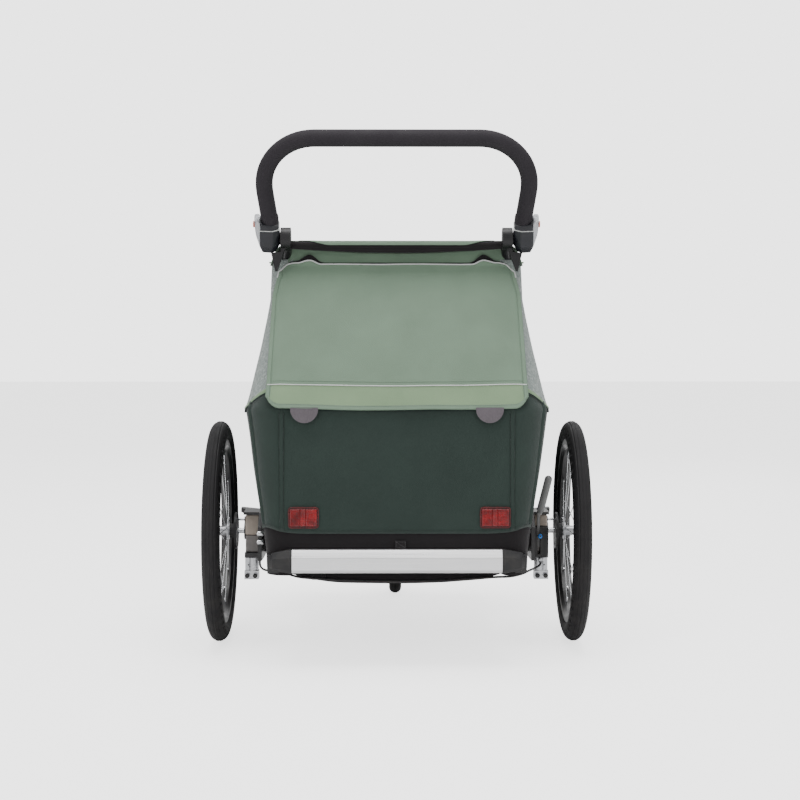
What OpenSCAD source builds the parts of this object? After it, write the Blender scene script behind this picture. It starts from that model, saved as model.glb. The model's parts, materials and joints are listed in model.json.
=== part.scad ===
// Two-seat child bicycle trailer in its stroller set-up: folding upper frame, push bar,
// sprung wheels with push-button axles, parking brake, buggy wheel and luggage flap.
// +Y is the direction of travel, +X the right-hand side, Z = 0 the ground.

/* [Wheels] */
// Outer radius of the main wheels, 20 inch by 50 mm tyres
wheel_r = 253; // [230:1:260]
// Width of the main tyres
tyre_w = 50; // [38:1:52]
// Distance between the middles of the two main tyres
track = 810; // [800:1:830]
// Spokes in each main wheel
spoke_count = 20; // [16:4:28]
// Outer radius of the front buggy wheel
caster_r = 100; // [90:1:105]
// Width of the buggy wheel's tyre
caster_w = 33; // [28:1:36]

/* [Body] */
// Half width of the fabric body at its lower edge
body_low = 286; // [280:1:288]
// Half width of the fabric body at the belt
belt_half = 326; // [318:1:330]
// Height of the belt seam
belt_z = 552; // [545:1:560]
// Half width of the body at the roof edge
roof_half = 278; // [274:1:282]
// Height of the middle of the roof
roof_top = 917; // [905:1:925]
// Thickness of the fabric walls
wall_t = 2.5; // [2:0.5:3]

/* [Flap and bumper] */
// Half width of the luggage flap at its lower edge
flap_half = 278; // [270:1:280]
// Length of the bare aluminium bumper profile
bumper_l = 445; // [420:1:460]
// Overall width of the bumper with its end caps
bumper_total = 540; // [530:1:550]

/* [Push bar] */
// Height of the middle of the push bar's top run
bar_z = 1124; // [1100:1:1140]
// Outer width of the foam-covered push bar
bar_w = 607; // [600:1:612]
// Diameter of the foam sleeve
foam_d = 37; // [34:1:38]
// Diameter of the metal tube inside the foam
bar_d = 25; // [22:1:25]

/* [Hidden] */
$fn = 48;
// Ground-centred frame: the wheel axle sits this far from the middle of the whole object
axle_y = -198;
axle_h = wheel_r;
wheel_x = track / 2;

// Folding upper frame
hinge_y = 520;
hinge_z = 272;
arch_r = 11;
arch_top_x = 248;
arch_mid_x = 290;
pivot_y = -160;
pivot_z = 918;
knuckle_r = 24;
knuckle_in = 232;
knuckle_out = 254;

// Push bar: the legs lie in a plane that leans rearward
lean = 31.9;
bar_s = (bar_z - pivot_z) / cos(lean);
leg_x = (bar_w - foam_d) / 2;

// Flap plane
flap_top_y = -130;
flap_top_z = 857;
flap_low_y = -322;
flap_low_z = 551;
flap_t = 4;
flap_len = norm([flap_top_y - flap_low_y, flap_top_z - flap_low_z]);
flap_tilt = atan2(flap_top_y - flap_low_y, flap_top_z - flap_low_z);

// Backrest
back_y = -60;
back_z = 400;
back_lean = 10.4;
back_len = 366;
back_x = 228;

// Buggy wheel
swivel_y = 690;
caster_y = 650;

// Wheel hub and brake
hub_in = 384;
hub_out = 426;
axle_r = 6;
ring_in = 366;
pawl_radius = 33;
pawl_slots = 12;
arm_pivot_y = 110;
arm_pivot_z = 225;

// Brake lever pivot
lever_y = -116;
lever_z = 240;

// Cable from the brake housing under the bumper to the left-hand brake
cable_r = 2.5;
cable_route = [
    [324, -116, 195.7], [322, -119, 190], [314, -128, 182], [305, -142, 178],
    [294, -166, 175], [278, -205, 173], [258, -255, 172], [228, -296, 172], [180, -315, 172],
    [120, -318, 172], [60, -319, 171], [0, -319, 171], [-60, -319, 171], [-120, -318, 172],
    [-180, -315, 172], [-228, -296, 172], [-258, -255, 172], [-278, -205, 174],
    [-292, -168, 180], [-302, -147, 187], [-304.6, -139, 195], [-304.6, -137, 202.5]
];

// ---------- helpers ----------

// Moves a piece from axle coordinates to the centred frame
module placed() {
    translate([0, axle_y, 0]) children();
}

// The same piece on the left and on the right
module both() {
    children();
    mirror([1, 0, 0]) children();
}

// side = 1 is the right-hand piece, -1 its mirror image
module sided(side) {
    if (side > 0) children();
    else mirror([1, 0, 0]) children();
}

function unit(v) = v / norm(v);
function dot(a, b) = a[0] * b[0] + a[1] * b[1] + a[2] * b[2];

// Straight round bar from a to b
module rod(a, b, r) {
    d = b - a;
    translate(a)
        rotate([0, acos(d[2] / norm(d)), atan2(d[1], d[0])])
            cylinder(r = r, h = norm(d));
}

// Cylinder along X from x0 to x1
module bar_x(x0, x1, y, z, r) {
    translate([x0, y, z]) rotate([0, 90, 0]) cylinder(r = r, h = x1 - x0);
}

// Cylinder along Y from y0 to y1
module bar_y(y0, y1, x, z, r) {
    translate([x, y0, z]) rotate([-90, 0, 0]) cylinder(r = r, h = y1 - y0);
}

// Box between two corners
module box(a, b) {
    translate(a) cube(b - a);
}

function turn(p, i) = acos(dot(unit(p[i] - p[i - 1]), unit(p[i + 1] - p[i])));
function trim(p, i, bends) = (i == 0 || i == len(p) - 1) ? 0 : bends[i - 1] * tan(turn(p, i) / 2);

// Tube through the points of p, with one bend radius for each inner corner
module bent_tube(p, r, bends) {
    for (i = [0 : len(p) - 2]) {
        d = unit(p[i + 1] - p[i]);
        rod(p[i] + d * trim(p, i, bends), p[i + 1] - d * trim(p, i + 1, bends), r);
    }
    for (i = [1 : len(p) - 2]) {
        d1 = unit(p[i] - p[i - 1]);
        d2 = unit(p[i + 1] - p[i]);
        start = p[i] - d1 * trim(p, i, bends);
        inward = unit(d2 - d1 * dot(d1, d2));
        centre = start + inward * bends[i - 1];
        n = cross(-inward, d1);
        multmatrix([
            [-inward[0], d1[0], n[0], centre[0]],
            [-inward[1], d1[1], n[1], centre[1]],
            [-inward[2], d1[2], n[2], centre[2]],
            [0, 0, 0, 1]
        ])
            rotate_extrude(angle = turn(p, i))
                translate([bends[i - 1], 0]) circle(r = r);
    }
}

// Outline in the YZ plane, given as [y, z] points, extruded from x0 to x1
module slab_x(x0, x1, outline) {
    translate([x0, 0, 0])
        multmatrix([[0, 0, 1, 0], [1, 0, 0, 0], [0, 1, 0, 0], [0, 0, 0, 1]])
            linear_extrude(height = x1 - x0) polygon(outline);
}

// Closed skin between an outer and an inner grid of points, rows by columns
module panel(o, n) {
    rows = len(o);
    cols = len(o[0]);
    size = rows * cols;
    function at(i, j) = i * cols + j;
    cells = [for (i = [0 : rows - 2], j = [0 : cols - 2]) [at(i, j), at(i + 1, j),
        at(i + 1, j + 1), at(i, j + 1)]];
    rim = concat(
        [for (j = [0 : cols - 2]) at(0, j)],
        [for (i = [0 : rows - 2]) at(i, cols - 1)],
        [for (j = [cols - 1 : -1 : 1]) at(rows - 1, j)],
        [for (i = [rows - 1 : -1 : 1]) at(i, 0)]
    );
    faces = concat(
        [for (c = cells) [c[0], c[1], c[2]]],
        [for (c = cells) [c[0], c[2], c[3]]],
        [for (c = cells) [size + c[0], size + c[2], size + c[1]]],
        [for (c = cells) [size + c[0], size + c[3], size + c[2]]],
        [for (k = [0 : len(rim) - 1]) [rim[k], rim[(k + 1) % len(rim)],
            size + rim[(k + 1) % len(rim)]]],
        [for (k = [0 : len(rim) - 1]) [rim[k], size + rim[(k + 1) % len(rim)], size + rim[k]]]
    );
    polyhedron(points = [for (g = [o, n], row = g, q = row) q], faces = faces, convexity = 6);
}

// Centre line through the points of p with rounded corners
function rounded(p, bends) = [for (i = [0 : len(p) - 1], q = corner(p, i, bends)) q];
function corner(p, i, bends) =
    (i == 0 || i == len(p) - 1) ? [p[i]]
    : let (
        d1 = unit(p[i] - p[i - 1]),
        d2 = unit(p[i + 1] - p[i]),
        r = bends[i - 1],
        inward = unit(d2 - d1 * dot(d1, d2)),
        start = p[i] - d1 * trim(p, i, bends),
        steps = max(3, round(turn(p, i) / 11))
    )
    [for (k = [0 : steps]) let (a = turn(p, i) * k / steps)
        start + d1 * r * sin(a) + inward * r * (1 - cos(a))];

// Round tube or cord along a route: one ring of points at each route point, turned so that
// ref is never along the route. A core radius above 0 leaves it hollow.
module sweep(route, r, sides, ref, core = 0) {
    last = len(route) - 1;
    function along(i) = unit(route[min(i + 1, last)] - route[max(i - 1, 0)]);
    function across(i) = unit(cross(along(i), ref));
    function upward(i) = cross(across(i), along(i));
    function ring(i, q) = [for (k = [0 : sides - 1])
        route[i] + q * (cos(360 * k / sides) * across(i) + sin(360 * k / sides) * upward(i))];
    shells = core > 0 ? [r, core] : [r];
    size = (last + 1) * sides;
    walls = [for (i = [0 : last - 1], k = [0 : sides - 1])
        [i * sides + k, i * sides + (k + 1) % sides, (i + 1) * sides + (k + 1) % sides,
            (i + 1) * sides + k]];
    caps = core > 0
        ? [for (e = [0, last], k = [0 : sides - 1])
            let (a = e * sides + k, b = e * sides + (k + 1) % sides)
            e == 0 ? [a, b, b + size, a + size] : [b, a, a + size, b + size]]
        : [[for (k = [0 : sides - 1]) k], [for (k = [sides - 1 : -1 : 0]) last * sides + k]];
    polyhedron(
        points = [for (q = shells, i = [0 : last], v = ring(i, q)) v],
        faces = [for (f = concat(
            [for (w = walls) [w[0], w[2], w[1]]],
            [for (w = walls) [w[0], w[3], w[2]]],
            core > 0 ? [for (w = walls) [w[1] + size, w[2] + size, w[0] + size]] : [],
            core > 0 ? [for (w = walls) [w[2] + size, w[3] + size, w[0] + size]] : [],
            caps
        )) reversed(f)],
        convexity = 6
    );
}

// ---------- shape of the fabric body ----------

function mix(a, b, t) = a + (b - a) * t;

// Half width of the body at height z
function half_at(z) =
    z < belt_z ? mix(body_low, belt_half, (z - 292) / (belt_z - 292))
    : z < 785 ? mix(belt_half, roof_half, pow((z - belt_z) / (785 - belt_z), 0.8))
    : roof_half;

// Half width of the flat rear face at height z
function flat_at(z) = z < belt_z ? 245 : mix(245, 238, (z - belt_z) / 330);

// Rear face of the body at height z, just inside the flap's plane above the belt
function rear_at(z) =
    z < belt_z ? mix(-327, -318, (z - 292) / (belt_z - 292))
    : z < flap_top_z ? flap_low_y + (z - flap_low_z) * tan(flap_tilt) + 3.5
    : -126.5 + (z - flap_top_z) * 0.1;

// Front edge of the side walls at height z
function front_at(z) =
    z < 350 ? 606
    : z < belt_z ? mix(606, 452, (z - 350) / (belt_z - 350))
    : z < 785 ? mix(452, 285, (z - belt_z) / (785 - belt_z))
    : mix(285, 196, (z - 785) / 95);

// Plan outline of the right-hand wall: rear face, round corner, side
function corner_row(z, t, y_end) =
    let (hw = half_at(z) - t, yr = rear_at(z) + t, hf = flat_at(z), rc = hw - hf)
    concat(
        [for (a = [0 : 15 : 90]) [hf + rc * sin(a), yr + rc * (1 - cos(a)), z]],
        [for (k = [1 : 6]) [hw, mix(yr + rc, y_end, k / 6), z]]
    );

function reversed(list) = [for (i = [len(list) - 1 : -1 : 0]) list[i]];
function mirrored(row) = [for (q = reversed(row)) [-q[0], q[1], q[2]]];

upper_levels = [belt_z + 0.3, 600, 660, 720, 785, 835, flap_top_z - 1, 880];

module upper_wall(t0, t1) {
    panel(
        [for (z = upper_levels) corner_row(z, t0, front_at(z))],
        [for (z = upper_levels) corner_row(z, t1, front_at(z))]
    );
}

// Outline of the side window in the YZ plane
module window_block(grow) {
    slab_x(200, 360, [[-60 - grow, 600 - grow], [352 + grow, 600 - grow],
        [180 + grow, 820 + grow], [-20 - grow, 820 + grow]]);
}

// ---------- chassis ----------

module base_frame() placed() color("dimgray") {
    both() {
        // side rail
        box([250, -330, 205], [274, 560, 245]);
        // axle stub outside the rail
        box([274, -20, 207], [300, 20, 243]);
        // clevis of the folding frame
        box([250, 500, 245], [255, 540, 290]);
        box([269, 500, 245], [274, 540, 290]);
        bar_x(250, 274, hinge_y, hinge_z, 5);
        // upright that carries the backrest hinge
        box([250, -74, 245], [262, -46, 400]);
        bar_x(250, 262, back_y, back_z, 14);
        bar_x(222, 250, back_y, back_z, 5);
        // seat support
        box([250, 190, 245], [270, 210, 331]);
    }
    // axle beam and front cross tube
    box([-250, -20, 207], [250, 20, 243]);
    box([-250, 536, 205], [250, 560, 245]);
    // seat front tube
    bar_x(-250, 250, 200, 320, 11);
    // caster carrier with its swivel sleeve
    difference() {
        union() {
            box([-20, 560, 228], [20, 690, 250]);
            translate([0, swivel_y, 222]) cylinder(r = 18, h = 40);
        }
        translate([0, swivel_y, 200]) cylinder(r = 8.06, h = 80);
    }
}

module bumper_profile() placed() color("gainsboro")
    slab_x(-bumper_l / 2, bumper_l / 2, [[-330.3, 207], [-345, 207], [-351, 214], [-352, 240],
        [-341, 256], [-330.3, 257]]);

module bumper_caps() placed() color("black") both() {
    x0 = bumper_l / 2 + 0.3;
    x1 = bumper_total / 2;
    hull() {
        slab_x(x0, x0 + 1, [[-330.3, 206], [-346, 206], [-353, 214], [-354, 241], [-342, 258],
            [-330.3, 258]]);
        slab_x(x1 - 8, x1 - 7, [[-330.3, 211], [-340, 211], [-346, 218], [-347, 238],
            [-338, 250], [-330.3, 250]]);
        slab_x(x1 - 1, x1, [[-330.3, 217], [-336, 217], [-340, 222], [-340, 234], [-336, 242],
            [-330.3, 242]]);
    }
}

// Belly rows, from the left hem round underneath to the right hem
tub_section = [[246.5, 249], [246, 225], [240, 200], [215, 176], [150, 163], [75, 159], [0, 158]];

function belly_row(y, t, lift) =
    let (side = [for (q = tub_section) [q[0] - (q[0] > 0 ? t : 0), y,
        q[1] + (q[1] < 240 ? t + lift * (249 - q[1]) / 91 : 0)]])
    concat([for (q = side) [-q[0], q[1], q[2]]],
        [for (i = [len(side) - 2 : -1 : 0]) side[i]]);

belly_y = [[-310, 30], [-296, 4], [-150, 0], [60, 0], [300, 0], [500, 14], [528, 34]];

module floor_tub() placed() color("black") difference() {
    union() {
        panel(
            [for (s = belly_y) belly_row(s[0], wall_t, s[1])],
            [for (s = belly_y) belly_row(s[0], 0, s[1])]
        );
        // closed rear and front ends
        for (y = [-310, 525.5])
            slab_end(y, y + wall_t);
    }
    box([-260, -21, 206], [260, 21, 244]);
}

module slab_end(y0, y1) {
    outline = concat([for (q = tub_section) [-q[0], max(q[1], 190)]],
        [for (i = [len(tub_section) - 2 : -1 : 0]) [tub_section[i][0], max(tub_section[i][1],
            190)]]);
    translate([0, y1, 0]) rotate([90, 0, 0]) linear_extrude(height = y1 - y0) polygon(outline);
}

skirt_levels = [248.5, 270, 291.6];

function skirt_row(z, t) = concat(mirrored(skirt_side(z, t)), skirt_side(z, t));
function skirt_side(z, t) =
    let (hw = 280 + (z - 248.5) * 0.13 - t, yr = -325.5 + t, rc = 40 - t)
    concat(
        [for (a = [0 : 30 : 90]) [hw - rc + rc * sin(a), yr + rc * (1 - cos(a)), z]],
        [[hw, 120, z], [hw, 400, z], [hw, 596, z]]
    );

module skirt() placed() color("black") {
    panel(
        [for (z = skirt_levels) skirt_row(z, 0)],
        [for (z = skirt_levels) skirt_row(z, wall_t)]
    );
    // nose panel
    panel(
        [for (z = [262, 300, 350]) [for (x = [-276 : 69 : 276]) [x, 608 + 14 * nose(x), z]]],
        [for (z = [262, 300, 350]) [for (x = [-276 : 69 : 276]) [x, 612 + 14 * nose(x), z]]]
    );
}

function nose(x) = 1 - pow(x / 290, 2);

wall_levels = [292, 350, 420, 490, belt_z - 0.3];
wall_end = -228;

function wall_row(z, t) =
    let (hw = half_at(z) - t, yr = rear_at(z) + t, hf = flat_at(z), rc = hw - hf)
    let (side = concat([for (a = [0 : 15 : 90]) [hf + rc * sin(a), yr + rc * (1 - cos(a)), z]],
        [[hw, wall_end, z]]))
    concat(mirrored(side), side);

module storage_wall() placed() color("darkslategray")
    panel(
        [for (z = wall_levels) wall_row(z, 0)],
        [for (z = wall_levels) wall_row(z, wall_t)]
    );

function side_row(z, t) =
    [for (k = [0 : 6]) [half_at(z) - t, mix(wall_end + 0.3, front_at(z), k / 6), z]];

module side_lower() placed() color("darkslategray") both()
    panel(
        [for (z = wall_levels) side_row(z, 0)],
        [for (z = wall_levels) side_row(z, wall_t)]
    );

module side_upper() placed() color("lightslategray") both() difference() {
    upper_wall(0, wall_t);
    window_block(0.3);
    tube_notch();
}

module side_windows() placed() color("slategray") both() intersection() {
    upper_wall(0.6, wall_t - 0.6);
    window_block(0);
}

function roof_rise(y) = y < 0 ? mix(6, 33, (y + 128) / 128) : mix(33, 5, pow(y / 200, 2));
function roof_z(x, y) = roof_top - 33 + roof_rise(y) * (1 - pow(abs(x) / roof_half, 2.2));

module roof() placed() color("darkseagreen") difference() {
    roof_skin();
    tube_notch();
}

module roof_skin() {
    ys = [-128, -100, -50, 0, 60, 130, 200];
    xs = [-278, -240, -180, -90, 0, 90, 180, 240, 278];
    panel(
        [for (y = ys) [for (x = xs) [x, y, roof_z(x, y)]]],
        [for (y = ys) [for (x = xs) [x, y, roof_z(x, y) - wall_t]]]
    );
    // rear valance above the flap
    vx = [-230, -115, 0, 115, 230];
    panel(
        [for (z = [864, 884]) [for (x = vx) [x, -128, z]]],
        [for (z = [864, 884]) [for (x = vx) [x, -125.5, z]]]
    );
}

// Notch where the upper frame's tube rises to the knuckle
module tube_notch() {
    both() box([228, -132, 866], [262, -94, 900]);
}

// ---------- seat and harness ----------

seat_mid = 118;
buckle_z = 410;

module seat_bench() placed() color("dimgray")
    slab_x(-243, 243, [[-44, 345], [-44, 352], [186, 352], [212, 346], [216, 334], [186, 334],
        [180, 345]]);

module soft_block(a, b, r) {
    hull() for (x = [a[0] + r, b[0] - r], y = [a[1] + r, b[1] - r])
        translate([x, y, a[2]]) cylinder(r = r, h = b[2] - a[2], $fn = 24);
}

module seat_pads() placed() color("gray") both()
    soft_block([seat_mid - 108, -34, 352.3], [seat_mid + 108, 206, 376], 24);

// Harness buckle on its crotch strap, one for each child
module buckles() placed() color("black") both() translate([seat_mid, 0, 0]) {
    box([-12, 146, 376.3], [12, 149, 390]);
    difference() {
        box([-21, 130, 390], [21, 152, 430]);
        bar_y(132, 153, 0, buckle_z, 9.3);
    }
}

module buckle_button(side) placed() color("firebrick") sided(side)
    bar_y(137, 152.6, seat_mid, buckle_z, 9);

// ---------- rear lamps, guards, suspension ----------

module reflectors() placed() color("crimson") both()
    box([173, -334.5, 303], [233, -327.2, 343]);

module wheel_guards() placed() color("black") both()
    slab_guard();

// Wedge that steers hedges and kerbs round the wheel
module slab_guard() {
    hull() {
        box([276, 330, 208], [284, 470, 242]);
        box([386, 370, 252], [390, 400, 262]);
    }
}

module suspension_plates() placed() color("silver") both() {
    difference() {
        union() {
            slab_x(300.3, 309, [[-140, 203], [-140, 278], [-100, 306], [-20, 306], [130, 250],
                [130, 210], [60, 200], [-60, 200]]);
            box([309, -88, 300], [345, -24, 306]);
        }
        bar_x(299, 310, arm_pivot_y, arm_pivot_z, 8.06);
    }
}

module suspension_pads() placed() color("tan") both() {
    box([311, -82, 214.3], [341, -30, 252.8]);
    box([311, -82, 253.2], [341, -30, 299.7]);
}

module swing_arm(side) placed() color("dimgray") sided(side) difference() {
    union() {
        slab_x(312, 328, [[118, 210], [124, 240], [104, 242], [24, 270], [-12, 272], [-24, 240],
            [-24, 213.5], [-86, 213.5], [-86, 202], [0, 202], [60, 206]]);
        box([312, -86, 202], [343, -24, 213.5]);
        bar_x(302, 328, arm_pivot_y, arm_pivot_z, 8);
        bar_x(312, 350, 0, axle_h, 20);
        bar_x(328, 352, 23.3, axle_h + 23.3, 7);
    }
    bar_x(311, 351, 0, axle_h, axle_r);
    bar_x(332, 353, 23.3, axle_h + 23.3, 3.06);
}

module clamp(side) placed() color("silver") sided(side) {
    translate([329, -55, 158]) cylinder(r = 15.5, h = 43.7);
    box([313, -72, 151], [345, -40, 170]);
    for (x = [320, 338]) bar_y(-77, -72, x, 160, 5);
}

module axle(side) placed() color("silver") sided(side) difference() {
    union() {
        bar_x(314, hub_out + 0.5, 0, axle_h, axle_r);
        bar_x(hub_out + 0.5, hub_out + 5, 0, axle_h, 10);
    }
    bar_x(hub_out - 8, hub_out + 6, 0, axle_h, 4.06);
}

module release_button(side) placed() color("black") sided(side)
    bar_x(hub_out - 4, hub_out + 9, 0, axle_h, 4);

// ---------- wheels ----------

// Revolves an [along the axle, radius] outline round the wheel's axle
module revolved(side) {
    placed() sided(side) translate([wheel_x, 0, axle_h]) rotate([0, 90, 0])
        rotate_extrude($fn = 96) rotate(90) mirror([0, 1]) children();
}

module tyre(side) color("black") revolved(side) difference() {
    translate([0, wheel_r - tyre_w / 2]) circle(r = tyre_w / 2);
    translate([-15, 150]) square([30, 61]);
}

module rim(side) color("darkgray") revolved(side)
    polygon([[-14.7, 210.6], [-14.7, 198], [-8, 190], [8, 190], [14.7, 198], [14.7, 210.6],
        [12, 210.6], [10, 201], [-10, 201], [-12, 210.6]]);

module spokes(side) color("silver") placed() sided(side) translate([wheel_x, 0, axle_h])
    for (k = [0 : spoke_count - 1])
        rotate([360 * k / spoke_count, 0, 0])
            rod([k % 2 == 0 ? 17 : -17, 0, 15], spoke_end(k), 1);

// Every other spoke leans forward, the rest rearward, so that they cross
function spoke_end(k) =
    let (a = floor(k / 2) % 2 == 0 ? 34 : -34)
    [k % 2 == 0 ? 3 : -3, 190.5 * sin(a), 190.5 * cos(a)];

module hub(side) color("silver") placed() sided(side) difference() {
    union() {
        bar_x(hub_in, hub_out, 0, axle_h, 11);
        bar_x(wheel_x - 19, wheel_x - 15, 0, axle_h, 21);
        bar_x(wheel_x + 15, wheel_x + 19, 0, axle_h, 21);
    }
    bar_x(hub_in - 1, hub_out + 1, 0, axle_h, axle_r + 0.08);
}

module brake_ring(side) color("black") placed() sided(side) difference() {
    union() {
        bar_x(ring_in, ring_in + 6, 0, axle_h, 42);
        bar_x(ring_in + 6, hub_in - 0.2, 0, axle_h, 16);
    }
    bar_x(ring_in - 1, hub_in + 1, 0, axle_h, axle_r + 0.08);
    for (k = [0 : pawl_slots - 1])
        translate([0, 0, axle_h]) rotate([45 + 360 * k / pawl_slots, 0, 0])
            bar_x(ring_in - 1, ring_in + 7, 0, pawl_radius, 4.5);
}

module pawl(side) placed() color("silver") sided(side)
    bar_x(334, ring_in - 0.8, 23.3, axle_h + 23.3, 3);

// ---------- parking brake ----------

module brake_housing() placed() color("black") difference() {
    union() {
        slab_x(309.3, 339, [[-130, 210], [-134, 222], [-134, 262], [-126, 276], [-108, 278],
            [-102, 268], [-102, 214], [-110, 206]]);
        bar_y(-138, -134, 317, 263, 5.5);
        // cable anchor
        translate([324, -116, 196]) cylinder(r = 5, h = 14);
    }
    box([314.8, -140, 216], [321.2, -100, 290]);
    bar_x(309, 340, lever_y, lever_z, 4.06);
}

module brake_lever() placed() color("gray") {
    bar_x(310, 338, lever_y, lever_z, 4);
    box([315.2, lever_y - 8, lever_z - 8], [320.8, lever_y + 8, 308]);
    rod([319, lever_y, 304], [323, lever_y, 316], 6);
    rod([322, lever_y, 312], [340, lever_y, 383], 8.5);
    translate([340, lever_y, 383]) sphere(r = 8.5);
}

module brake_cable() placed() color("black")
    sweep(cable_route, cable_r, 8, [0, 0, 1]);

// ---------- front: tow bar socket and buggy wheel ----------

tow_x = -205;
tow_z = 225;

tow_pin_y = 600;

module tow_socket() placed() color("silver") difference() {
    union() {
        bar_y(560.3, 640, tow_x, tow_z, 21);
        box([tow_x - 24, 560.3, tow_z - 12], [tow_x + 24, 572, tow_z + 12]);
        bar_x(tow_x - 38, tow_x, tow_pin_y, tow_z, 8);
    }
    bar_y(572, 641, tow_x, tow_z, 16.2);
    bar_x(tow_x - 39, tow_x, tow_pin_y, tow_z, 4.06);
}

// Locking pin, drawn out
module tow_pin() placed() color("red") {
    bar_x(tow_x - 69, tow_x - 17, tow_pin_y, tow_z, 4);
    bar_x(tow_x - 77, tow_x - 69, tow_pin_y, tow_z, 9);
}

module caster_fork() placed() color("black") {
    translate([0, swivel_y, 206]) cylinder(r = 8, h = 62);
    translate([0, swivel_y, 262.4]) cylinder(r = 13, h = 6);
    slab_x(-27, 27, [[swivel_y - 22, 206], [swivel_y - 22, 220], [swivel_y + 18, 220],
        [swivel_y + 18, 206]]);
    both()
        difference() {
            slab_x(21, 27, [[swivel_y - 22, 214], [swivel_y + 18, 214], [caster_y + 14, 96],
                [caster_y + 4, 86], [caster_y - 8, 88], [caster_y - 14, 100]]);
            bar_x(20, 28, caster_y, caster_r, 4);
        }
}

module caster_revolved() {
    placed() translate([0, caster_y, caster_r]) rotate([0, 90, 0])
        rotate_extrude($fn = 72) rotate(90) mirror([0, 1]) children();
}

module caster_tyre() color("black") caster_revolved() difference() {
    translate([0, caster_r - caster_w / 2]) circle(r = caster_w / 2);
    translate([-12, 40]) square([24, 35]);
}

module caster_rim() color("gray") caster_revolved()
    polygon([[-11.8, 74.8], [-11.8, 66], [-4, 60], [-4, 20], [-16, 16], [-16, 4.08],
        [16, 4.08], [16, 16], [4, 20], [4, 60], [11.8, 66], [11.8, 74.8]]);

module caster_axle() placed() color("silver") {
    bar_x(-27, 27, caster_y, caster_r, 4);
    both() bar_x(27, 31, caster_y, caster_r, 7);
}

// ---------- folding upper frame and push bar ----------

arch_path = [[262, hinge_y, hinge_z + 6], [264, 504, 300], [arch_mid_x, 356, 560],
    [arch_top_x, 185, 862], [arch_top_x, -95, 862], [238, pivot_y, pivot_z]];
arch_bends = [30, 90, 60, 60];

module arch_frame() placed() color("dimgray") {
    both() {
        difference() {
            sweep(rounded(arch_path, arch_bends), arch_r, 20, [1, 0, 0]);
            bar_x(200, 300, pivot_y, pivot_z, knuckle_r + 0.1);
            bar_x(240, 255.4, hinge_y, hinge_z, 30);
            bar_x(268.6, 290, hinge_y, hinge_z, 30);
            bar_x(240, 290, hinge_y, hinge_z, 5.06);
        }
        difference() {
            bar_x(255.4, 268.6, hinge_y, hinge_z, 12);
            bar_x(240, 290, hinge_y, hinge_z, 5.06);
        }
    }
    bar_x(-knuckle_in - 8, knuckle_in + 8, pivot_y + 4, pivot_z - 14, 7);
}

module knuckles() placed() color("black") both() {
    difference() {
        union() {
            bar_x(knuckle_in, knuckle_out, pivot_y, pivot_z, knuckle_r);
            bar_x(knuckle_out, 296, pivot_y, pivot_z, 8);
            translate([0, pivot_y + 10, 0]) rotate([90, 0, 0]) linear_extrude(height = 20)
                polygon([[240, 900], [253.8, 900], [253.8, 889], [275, 886], [266, 846],
                    [262, 846], [247, 889]]);
        }
        bar_x(knuckle_in - 10, knuckle_in + 8.2, pivot_y + 4, pivot_z - 14, 7.06);
    }
}

// Point in the push bar's plane: x across, s up the leg from the pivot
function leg(x, s) = [x, pivot_y - s * sin(lean), pivot_z + s * cos(lean)];

bar_path = [leg(-273, 25), leg(-leg_x, 122), leg(-leg_x, bar_s), leg(leg_x, bar_s),
    leg(leg_x, 122), leg(273, 25)];
foam_path = [leg(-276.6, 54.5), leg(-leg_x, 122), leg(-leg_x, bar_s), leg(leg_x, bar_s),
    leg(leg_x, 122), leg(276.6, 54.5)];
bar_bends = [160, 110, 110, 160];

bar_plane = [0, cos(lean), sin(lean)];

module handle_tube() placed() color("silver")
    sweep(rounded(bar_path, bar_bends), bar_d / 2, 20, bar_plane);

module handle_foam() placed() color("black")
    sweep(rounded(foam_path, bar_bends), foam_d / 2, 24, bar_plane, bar_d / 2 + 0.3);

// Housing that joins each leg to its pivot, with a reflective side shell
module handle_pods() placed() color("black") both() difference() {
    union() {
        bar_x(knuckle_out + 0.5, 290, pivot_y, pivot_z, 26);
        translate([0, pivot_y, pivot_z]) rotate([lean, 0, 0]) pod_box();
    }
    bar_x(knuckle_out, 296.2, pivot_y, pivot_z, 8.06);
    rod(leg(271.8, 15), leg(281, 90), bar_d / 2 + 0.4);
    translate([0, pivot_y, pivot_z]) rotate([lean, 0, 0]) bar_x(290, 320, 0, 36, 7.06);
}

module pod_box() {
    // body that leans outward with the leg
    hull() {
        box([254.5, -25, -2], [292, 25, 0]);
        box([256, -25, 50], [300, 25, 51]);
    }
    // side shell
    hull() {
        box([289, -20, -18], [299, 20, -17]);
        box([297, -22, 49], [311, 22, 54]);
    }
}

module handle_button(side) placed() color("orangered") sided(side)
    translate([0, pivot_y, pivot_z]) rotate([lean, 0, 0]) bar_x(296, 313, 0, 36, 7);

// ---------- backrest ----------

module reclined() {
    translate([0, back_y, back_z]) rotate([back_lean, 0, 0]) children();
}

module backrest_frame() placed() color("silver") difference() {
    union() {
        reclined() bent_tube([[-back_x, 0, 0], [-back_x, 0, back_len - 9],
            [back_x, 0, back_len - 9], [back_x, 0, 0]], 9, [60, 60]);
        both() bar_x(219, 237, back_y, back_z, 12);
    }
    bar_x(-250, 250, back_y, back_z, 5.06);
}

module backrest_cover() placed() color("gray") reclined() {
    hull() {
        box([-217, -4, 20], [217, 4, 40]);
        for (x = [-169, 169])
            translate([x, -4, back_len - 70]) rotate([-90, 0, 0]) cylinder(r = 48, h = 8);
    }
    both() {
        soft_back();
        // shoulder straps
        for (x = [seat_mid - 45, seat_mid + 45])
            box([x - 19, 30, 40], [x + 19, 33, 300]);
    }
}

module soft_back() {
    hull() for (x = [seat_mid - 78, seat_mid + 72], z = [56, 300])
        translate([x, 4, z]) rotate([-90, 0, 0]) cylinder(r = 24, h = 26.1, $fn = 24);
}

// ---------- flap and front cover ----------

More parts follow.
